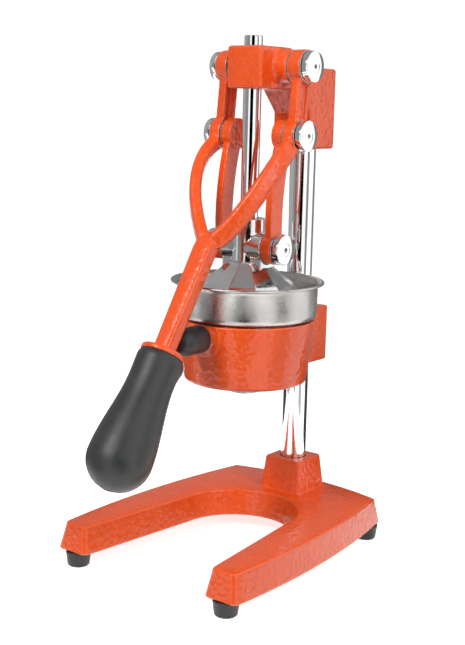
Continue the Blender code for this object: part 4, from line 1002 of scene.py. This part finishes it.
def press_cone(metal):
    axis = (0, ROD_Y, 0)
    phase = pi / BELL_SIDES
    outer = bell_profile()
    bell = turned([(0, outer[0][1])] + outer + [(0, outer[-1][1])], BELL_SIDES, axis, phase=phase)
    inner = bell_profile(BELL_WALL, BELL_TOP - BELL_ROOF)
    inner[-1] = (BELL_ROOF_RADIUS, BELL_ROOF)
    cavity = turned([(0, BELL_RIM - PAST), (inner[0][0], BELL_RIM - PAST)] + inner + [(0, BELL_ROOF)],
                    BELL_SIDES, axis, phase=phase)
    hub_foot = BELL_ROOF + HUB_ROOT
    hub = turned([(0, hub_foot), (HUB_RADIUS, hub_foot), (HUB_RADIUS, HUB_TOP - HUB_EDGE),
                  (HUB_RADIUS - HUB_EDGE, HUB_TOP), (0, HUB_TOP)], FINE, axis)
    ear = across_x(-EAR_HALF, EAR_HALF, LOW, EAR_RADIUS, FINE)
    web_half = EAR_RADIUS * 0.75
    web_foot = BELL_TOP - EAR_WEB
    web_end = EAR_HALF - EYE_TRIM
    web = prism_x([(LOW.y - web_half, web_foot), (LOW.y + web_half, web_foot), (LOW.y + web_half, LOW.z),
                   (LOW.y - web_half, LOW.z)], -web_end, web_end)
    rod_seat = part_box("guide_rod")[0].z - GAP
    rod_bore = half_width("guide_rod") + PIN_ROOM
    cuts = [cavity, cylinder((0, ROD_Y, rod_seat), (0, ROD_Y, HUB_TOP + PAST), rod_bore),
            cylinder((0, ROD_Y, BELL_ROOF - PAST), (0, ROD_Y, HUB_TOP), CONE_SCREW_HOLE, SMALL)]
    cone = cast("press_cone_fine", [bell, web, ear, hub], cuts, SMALL_VOXEL, 3)
    return finish_piece(cone, metal, "ram", "polished_metal", "press_cone", angle=CAST_ANGLE)


def guide_rod(plate):
    profile = rod_profile("guide_rod", ROD_SCREW_BORE, 0.0009, 0.0005)
    rod = object_of("guide_rod_fine", turned(profile, FINE, (0, ROD_Y, 0)))
    return finish_piece(rod, plate, "ram", "polished_metal", "guide_rod")


# ---------------------------------------------------------------- holder, bumper, bowl and funnel

def bowl_holder(coat):
    axis = (0, ROD_Y, 0)
    low, top = HOLDER_BOTTOM, HOLDER_TOP
    ring_profile = rounded([(0, low), (HOLDER_BOTTOM_RADIUS, low), (HOLDER_TOP_RADIUS, top), (0, top)],
                           {1: HOLDER_EDGE, 2: HOLDER_LIP}, 8, closed=False)
    ring = turned([tuple(p) for p in ring_profile], VERY_FINE, axis)
    wall = HOLDER_BOTTOM_RADIUS - HOLDER_WALL_BOTTOM
    ledge = HOLDER_BORE - HOLDER_LEDGE
    inside = turned([(0, low - PAST), (wall, low - PAST), (wall, low), (ledge, LEDGE_Z),
                     (HOLDER_BORE, LEDGE_Z), (HOLDER_BORE, top + PAST), (0, top + PAST)], VERY_FINE, axis)
    clamp_front, clamp_rear = POST_Y - CLAMP_HALF - HOLDER_CLAMP_REACH, POST_Y + CLAMP_HALF
    clamp_low, clamp_top = HOLDER_CLAMP_TOP - HOLDER_CLAMP_HEIGHT, HOLDER_CLAMP_TOP
    clamp = prism_x([(clamp_front, clamp_low), (clamp_rear, clamp_low), (clamp_rear, clamp_top),
                     (clamp_front, clamp_top)], -CLAMP_HALF, CLAMP_HALF)
    root = -STUB_COLLAR - HOLDER_WALL_TOP * 0.9
    reach = BUMPER_MOUTH - BUMPER_TIP - BUMPER_ROOF - STUB_ROOM
    flare = [(0, root), (STUB_FLARE, root), (STUB_FLARE, -STUB_COLLAR + 0.0005),
             (STUB_FLARE * 0.80, -STUB_COLLAR + 0.0011), (BUMPER_RADIUS - 0.0012, -0.0014),
             (BUMPER_RADIUS - 0.0020, -GAP), (STUB_RADIUS, -GAP), (STUB_RADIUS, reach), (0, reach)]
    stub = turned(flare, ROUND, (0, BUMPER_MOUTH, BUMPER_Z), (0, -1, 0))
    room_floor, room_top = BOWL_FLOOR - GAP, clamp_top + PAST
    room_radius = BOWL_RADIUS + BOWL_ROOM
    bowl_room = turned([(0, room_floor), (room_radius, room_floor), (room_radius, room_top), (0, room_top)],
                       VERY_FINE, axis)
    bore = cylinder((0, POST_Y, low - PAST), (0, POST_Y, room_top), half_width("post") + SLIDE_ROOM)
    cuts = [inside, bore, bowl_room] + screw_holes("holder_set_screw")
    holder = fused("bowl_holder_fine", [ring, bevelled(clamp, HOLDER_CLAMP_EDGE), stub], cuts)
    return finish_piece(holder, coat, "frame", "orange_enamel", "bowl_holder", angle=radians(40))


def bumper(skin):
    radius = BUMPER_RADIUS
    tip = BUMPER_MOUTH - BUMPER_TIP
    straight = tip - radius
    dome = [(radius * cos(a), straight + radius * sin(a)) for a in quarter(20)[:-1]]
    bore = STUB_RADIUS + GAP
    lip = rounded([(bore, 0), (radius, 0), (radius, straight * 0.5)], {1: BUMPER_EDGE}, 6, closed=False)
    roof = tip - BUMPER_ROOF
    profile = [(0, roof), (bore, roof)] + [tuple(p) for p in lip[:-1]] + dome + [(0, tip)]
    cap = object_of("bumper_fine", turned(profile, ROUND, (0, BUMPER_MOUTH, BUMPER_Z), (0, -1, 0)))
    return finish_piece(cap, skin, "frame", "black_rubber", "bumper")


def funnel(metal):
    """A shallow cone of sheet with soft bends, a flat flange and a short spout."""
    low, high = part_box("funnel")
    under = high.z - SHEET
    flange = half_width("funnel")
    mouth, spout, cone_low = FUNNEL_MOUTH, FUNNEL_SPOUT, under - FUNNEL_CONE_HEIGHT
    outside = [(flange, under), (mouth + 0.0012, under), (mouth + 0.0002, under - 0.0005),
               (mouth - 0.0008, under - 0.0016), (spout + 0.0010, cone_low + 0.0012),
               (spout, cone_low - 0.0006), (spout, low.z)]
    inside = [(spout - SHEET, low.z), (spout - SHEET, cone_low), (spout - SHEET + 0.0010, cone_low + 0.0018),
              (mouth - 0.0010, under + 0.0002), (mouth + 0.0001, under + SHEET - 0.0002),
              (mouth + 0.0010, under + SHEET), (flange, under + SHEET)]
    piece = object_of("funnel_fine", turned(outside + inside, VERY_FINE, (0, ROD_Y, 0)))
    return finish_piece(piece, metal, "frame", "steel_sheet", "funnel")


def strainer_bowl(metal):
    """A bowl of sheet: a rolled, flared rim, a spigot inside the ring, and a domed, holed middle."""
    floor, low = BOWL_FLOOR, BOWL_LOW
    spigot = HOLDER_BORE - SLIDE_ROOM
    straight = RIM_TOP - BOWL_FLARE
    lip = 0.0011
    rolled = [(BOWL_RIM_RADIUS - lip + lip * cos(a), RIM_TOP - lip + lip * sin(a))
              for a in [radians(100 - 22 * i) for i in range(12)]]
    centre = BOWL_RADIUS - BOWL_EDGE
    edge = [(centre + BOWL_EDGE * cos(a), floor + BOWL_EDGE - BOWL_EDGE * sin(a)) for a in quarter(8)]
    outside = rolled + [(BOWL_RADIUS + 0.0026, RIM_TOP - 0.0024), (BOWL_RADIUS + 0.0010, RIM_TOP - 0.0034),
                        (BOWL_RADIUS + 0.0002, straight)] + edge + [(spigot, floor), (spigot, low)]
    steps = 14
    dome = [(DOME_RADIUS * (1 - i / steps), low + DOME_HEIGHT * (1 - (1 - i / steps) ** 2.4) ** 0.8)
            for i in range(steps)]
    hollow = BOWL_EDGE - SHEET
    inside = [(spigot - SHEET, low + SHEET), (spigot - SHEET, floor + SHEET)]
    inside += [(centre + hollow * cos(a), floor + BOWL_EDGE - hollow * sin(a)) for a in quarter(8)[::-1]]
    inside += [(BOWL_RADIUS - SHEET, straight), (BOWL_RADIUS - SHEET + 0.0009, RIM_TOP - 0.0030),
               (BOWL_RADIUS + 0.0022, RIM_TOP - 0.0010)]
    crest = low + DOME_HEIGHT
    shell = [(0, crest + SHEET)]
    shell += [(radius + SHEET * 0.6, height + SHEET) for radius, height in reversed(dome)]
    shell += inside + outside + dome + [(0, crest)]
    bowl = turned(shell, VERY_FINE, (0, ROD_Y, 0))
    punches = []
    for count, radius in ((FLOOR_HOLES, (DOME_RADIUS + spigot) / 2), (DOME_HOLES, DOME_RADIUS * 0.6)):
        for i in range(count):
            angle = 2 * pi * (i + 0.5) / count
            x, y = radius * cos(angle), ROD_Y + radius * sin(angle)
            punches.append(cylinder((x, y, low - PAST), (x, y, crest + PAST), STRAINER_HOLE, 16))
    piece = cut(object_of("strainer_bowl_fine", bowl), [joined(punches)])
    return finish_piece(piece, metal, "frame", "steel_sheet", "strainer_bowl")


# ---------------------------------------------------------------- stage

def floor():
    bpy.ops.mesh.primitive_plane_add(size=FLOOR_SIZE, location=(0, 0, 0))
    plane = bpy.context.object
    plane.name = "floor"
    n = Nodes("pale_floor")
    n.link(n.colours(n.noise(3, 2), (0.90, 0.90, 0.90), (0.93, 0.93, 0.93)), n.shader.inputs["Base Color"])
    n.set(Roughness=0.9, Emission_Color=(1, 1, 1, 1), Emission_Strength=0.72)
    plane.data.materials.append(n.material)
    plane.visible_diffuse = False


def surroundings():
    """Even white light from all round."""
    world = bpy.data.worlds.new("studio")
    bpy.context.scene.world = world
    world.use_nodes = True
    background = world.node_tree.nodes["Background"]
    background.inputs["Color"].default_value = (1, 1, 1, 1)
    background.inputs["Strength"].default_value = 0.30


def card(name, azimuth, distance, width, height, z, strength):
    """An upright panel that shows only in reflections. azimuth is counted from -Y towards +X."""
    place = Vector((sin(azimuth) * distance, -cos(azimuth) * distance, z))
    bpy.ops.mesh.primitive_plane_add(size=1, location=place)
    panel = bpy.context.object
    panel.name = name
    panel.rotation_euler = (pi / 2, 0, azimuth)
    panel.scale = (width, height, 1)
    material = bpy.data.materials.new(name)
    material.use_nodes = True
    shader = material.node_tree.nodes["Principled BSDF"]
    shader.inputs["Base Color"].default_value = (0, 0, 0, 1)
    shader.inputs["Roughness"].default_value = 1.0
    shader.inputs["Specular IOR Level"].default_value = 0.0
    shader.inputs["Emission Color"].default_value = (1, 1, 1, 1)
    shader.inputs["Emission Strength"].default_value = strength
    panel.data.materials.append(material)
    panel.visible_camera = False
    panel.visible_shadow = False
    panel.visible_diffuse = False
    panel.visible_transmission = False
    return panel


def backdrop():
    """A white sheet behind the press that only the camera sees."""
    sheet = card("backdrop", CAMERA_AZIMUTH + pi, BACKDROP_DISTANCE, BACKDROP_SIZE, BACKDROP_SIZE,
                 BACKDROP_SIZE / 4, 1.1)
    sheet.visible_camera = True
    sheet.visible_glossy = False


def area_light(name, place, aim, size, power):
    data = bpy.data.lights.new(name, "AREA")
    data.shape = "RECTANGLE"
    data.size, data.size_y = size
    data.energy = power
    lamp = bpy.data.objects.new(name, data)
    lamp.location = place
    lamp.rotation_euler = (Vector(aim) - Vector(place)).to_track_quat("-Z", "Y").to_euler()
    bpy.context.scene.collection.objects.link(lamp)


def camera():
    """From the front right and slightly above, with a longish lens."""
    azimuth, pitch, roll, place = CAMERA_AZIMUTH, CAMERA_PITCH, CAMERA_ROLL, CAMERA_PLACE
    forward = Vector((-sin(azimuth) * cos(pitch), cos(azimuth) * cos(pitch), -sin(pitch)))
    level = Vector((cos(azimuth), sin(azimuth), 0))
    upright = level.cross(forward)
    right = level * cos(roll) + upright * sin(roll)
    up = upright * cos(roll) - level * sin(roll)
    data = bpy.data.cameras.new("camera")
    data.sensor_width = 36
    data.lens = CAMERA_LENS
    shot = bpy.data.objects.new("camera", data)
    shot.matrix_world = Matrix((
        (right.x, up.x, -forward.x, place.x),
        (right.y, up.y, -forward.y, place.y),
        (right.z, up.z, -forward.z, place.z),
        (0, 0, 0, 1)))
    bpy.context.scene.collection.objects.link(shot)
    bpy.context.scene.camera = shot


def studio():
    """Tall cards fill the chrome above the ring with bands, and low ones do so below it."""
    floor()
    surroundings()
    backdrop()
    tall = (("dark_front", -4, 0.44, 0.0), ("white_left", -34, 0.20, 1.15), ("grey_left", -66, 0.34, 0.28),
            ("white_right", 34, 0.30, 1.15), ("grey_right", 62, 0.18, 0.28), ("white_side", 95, 0.42, 1.25),
            ("grey_rear", 140, 0.40, 0.22), ("grey_far_left", -125, 0.60, 0.40))
    low = (("low_front", -2, 0.11, 0.0), ("low_left", -68, 0.30, 0.42), ("low_right", 62, 0.16, 0.55),
           ("low_rear_right", 138, 0.30, 0.06), ("low_rear_left", -132, 0.30, 0.06))
    for cards, distance, height in ((tall, CARD_DISTANCE, CARD_HEIGHT),
                                    (low, LOW_CARD_DISTANCE, LOW_CARD_HEIGHT)):
        for name, turn, width, strength in cards:
            card(name, CAMERA_AZIMUTH + radians(turn), distance, width, height, height / 2, strength)
    area_light("key", (-0.2, -1.5, 1.4), (0, 0, 0.2), (0.6, 0.6), 22)
    area_light("fill", (1.5, -0.4, 0.9), (0, 0, 0.2), (0.5, 0.9), 13)
    area_light("rear", (0.6, 1.5, 1.2), (0, 0, 0.2), (1.0, 0.8), 6)
    bpy.context.scene.view_settings.view_transform = "Standard"


# ---------------------------------------------------------------- the press

def main():
    coat, plate, casting = enamel(), chrome(), polished_casting()
    sheet, bright, skin, plastic = brushed_steel(), zinc(), rubber(), grip_plastic()
    base_casting(coat)
    feet(skin)
    post(plate)
    head_casting(coat)
    set_screws("head_set_screw", bright)
    set_screws("holder_set_screw", bright)
    pins(plate)
    washers(bright)
    lever_casting(coat)
    grip(plastic)
    links(coat)
    press_cone(casting)
    guide_rod(plate)
    bowl_holder(coat)
    bumper(skin)
    funnel(sheet)
    strainer_bowl(sheet)
    for node in frame["nodes"].values():
        if not node.hide_render:
            node.data.materials.clear()
            node.data.materials.append(bright)
    studio()
    camera()


main()
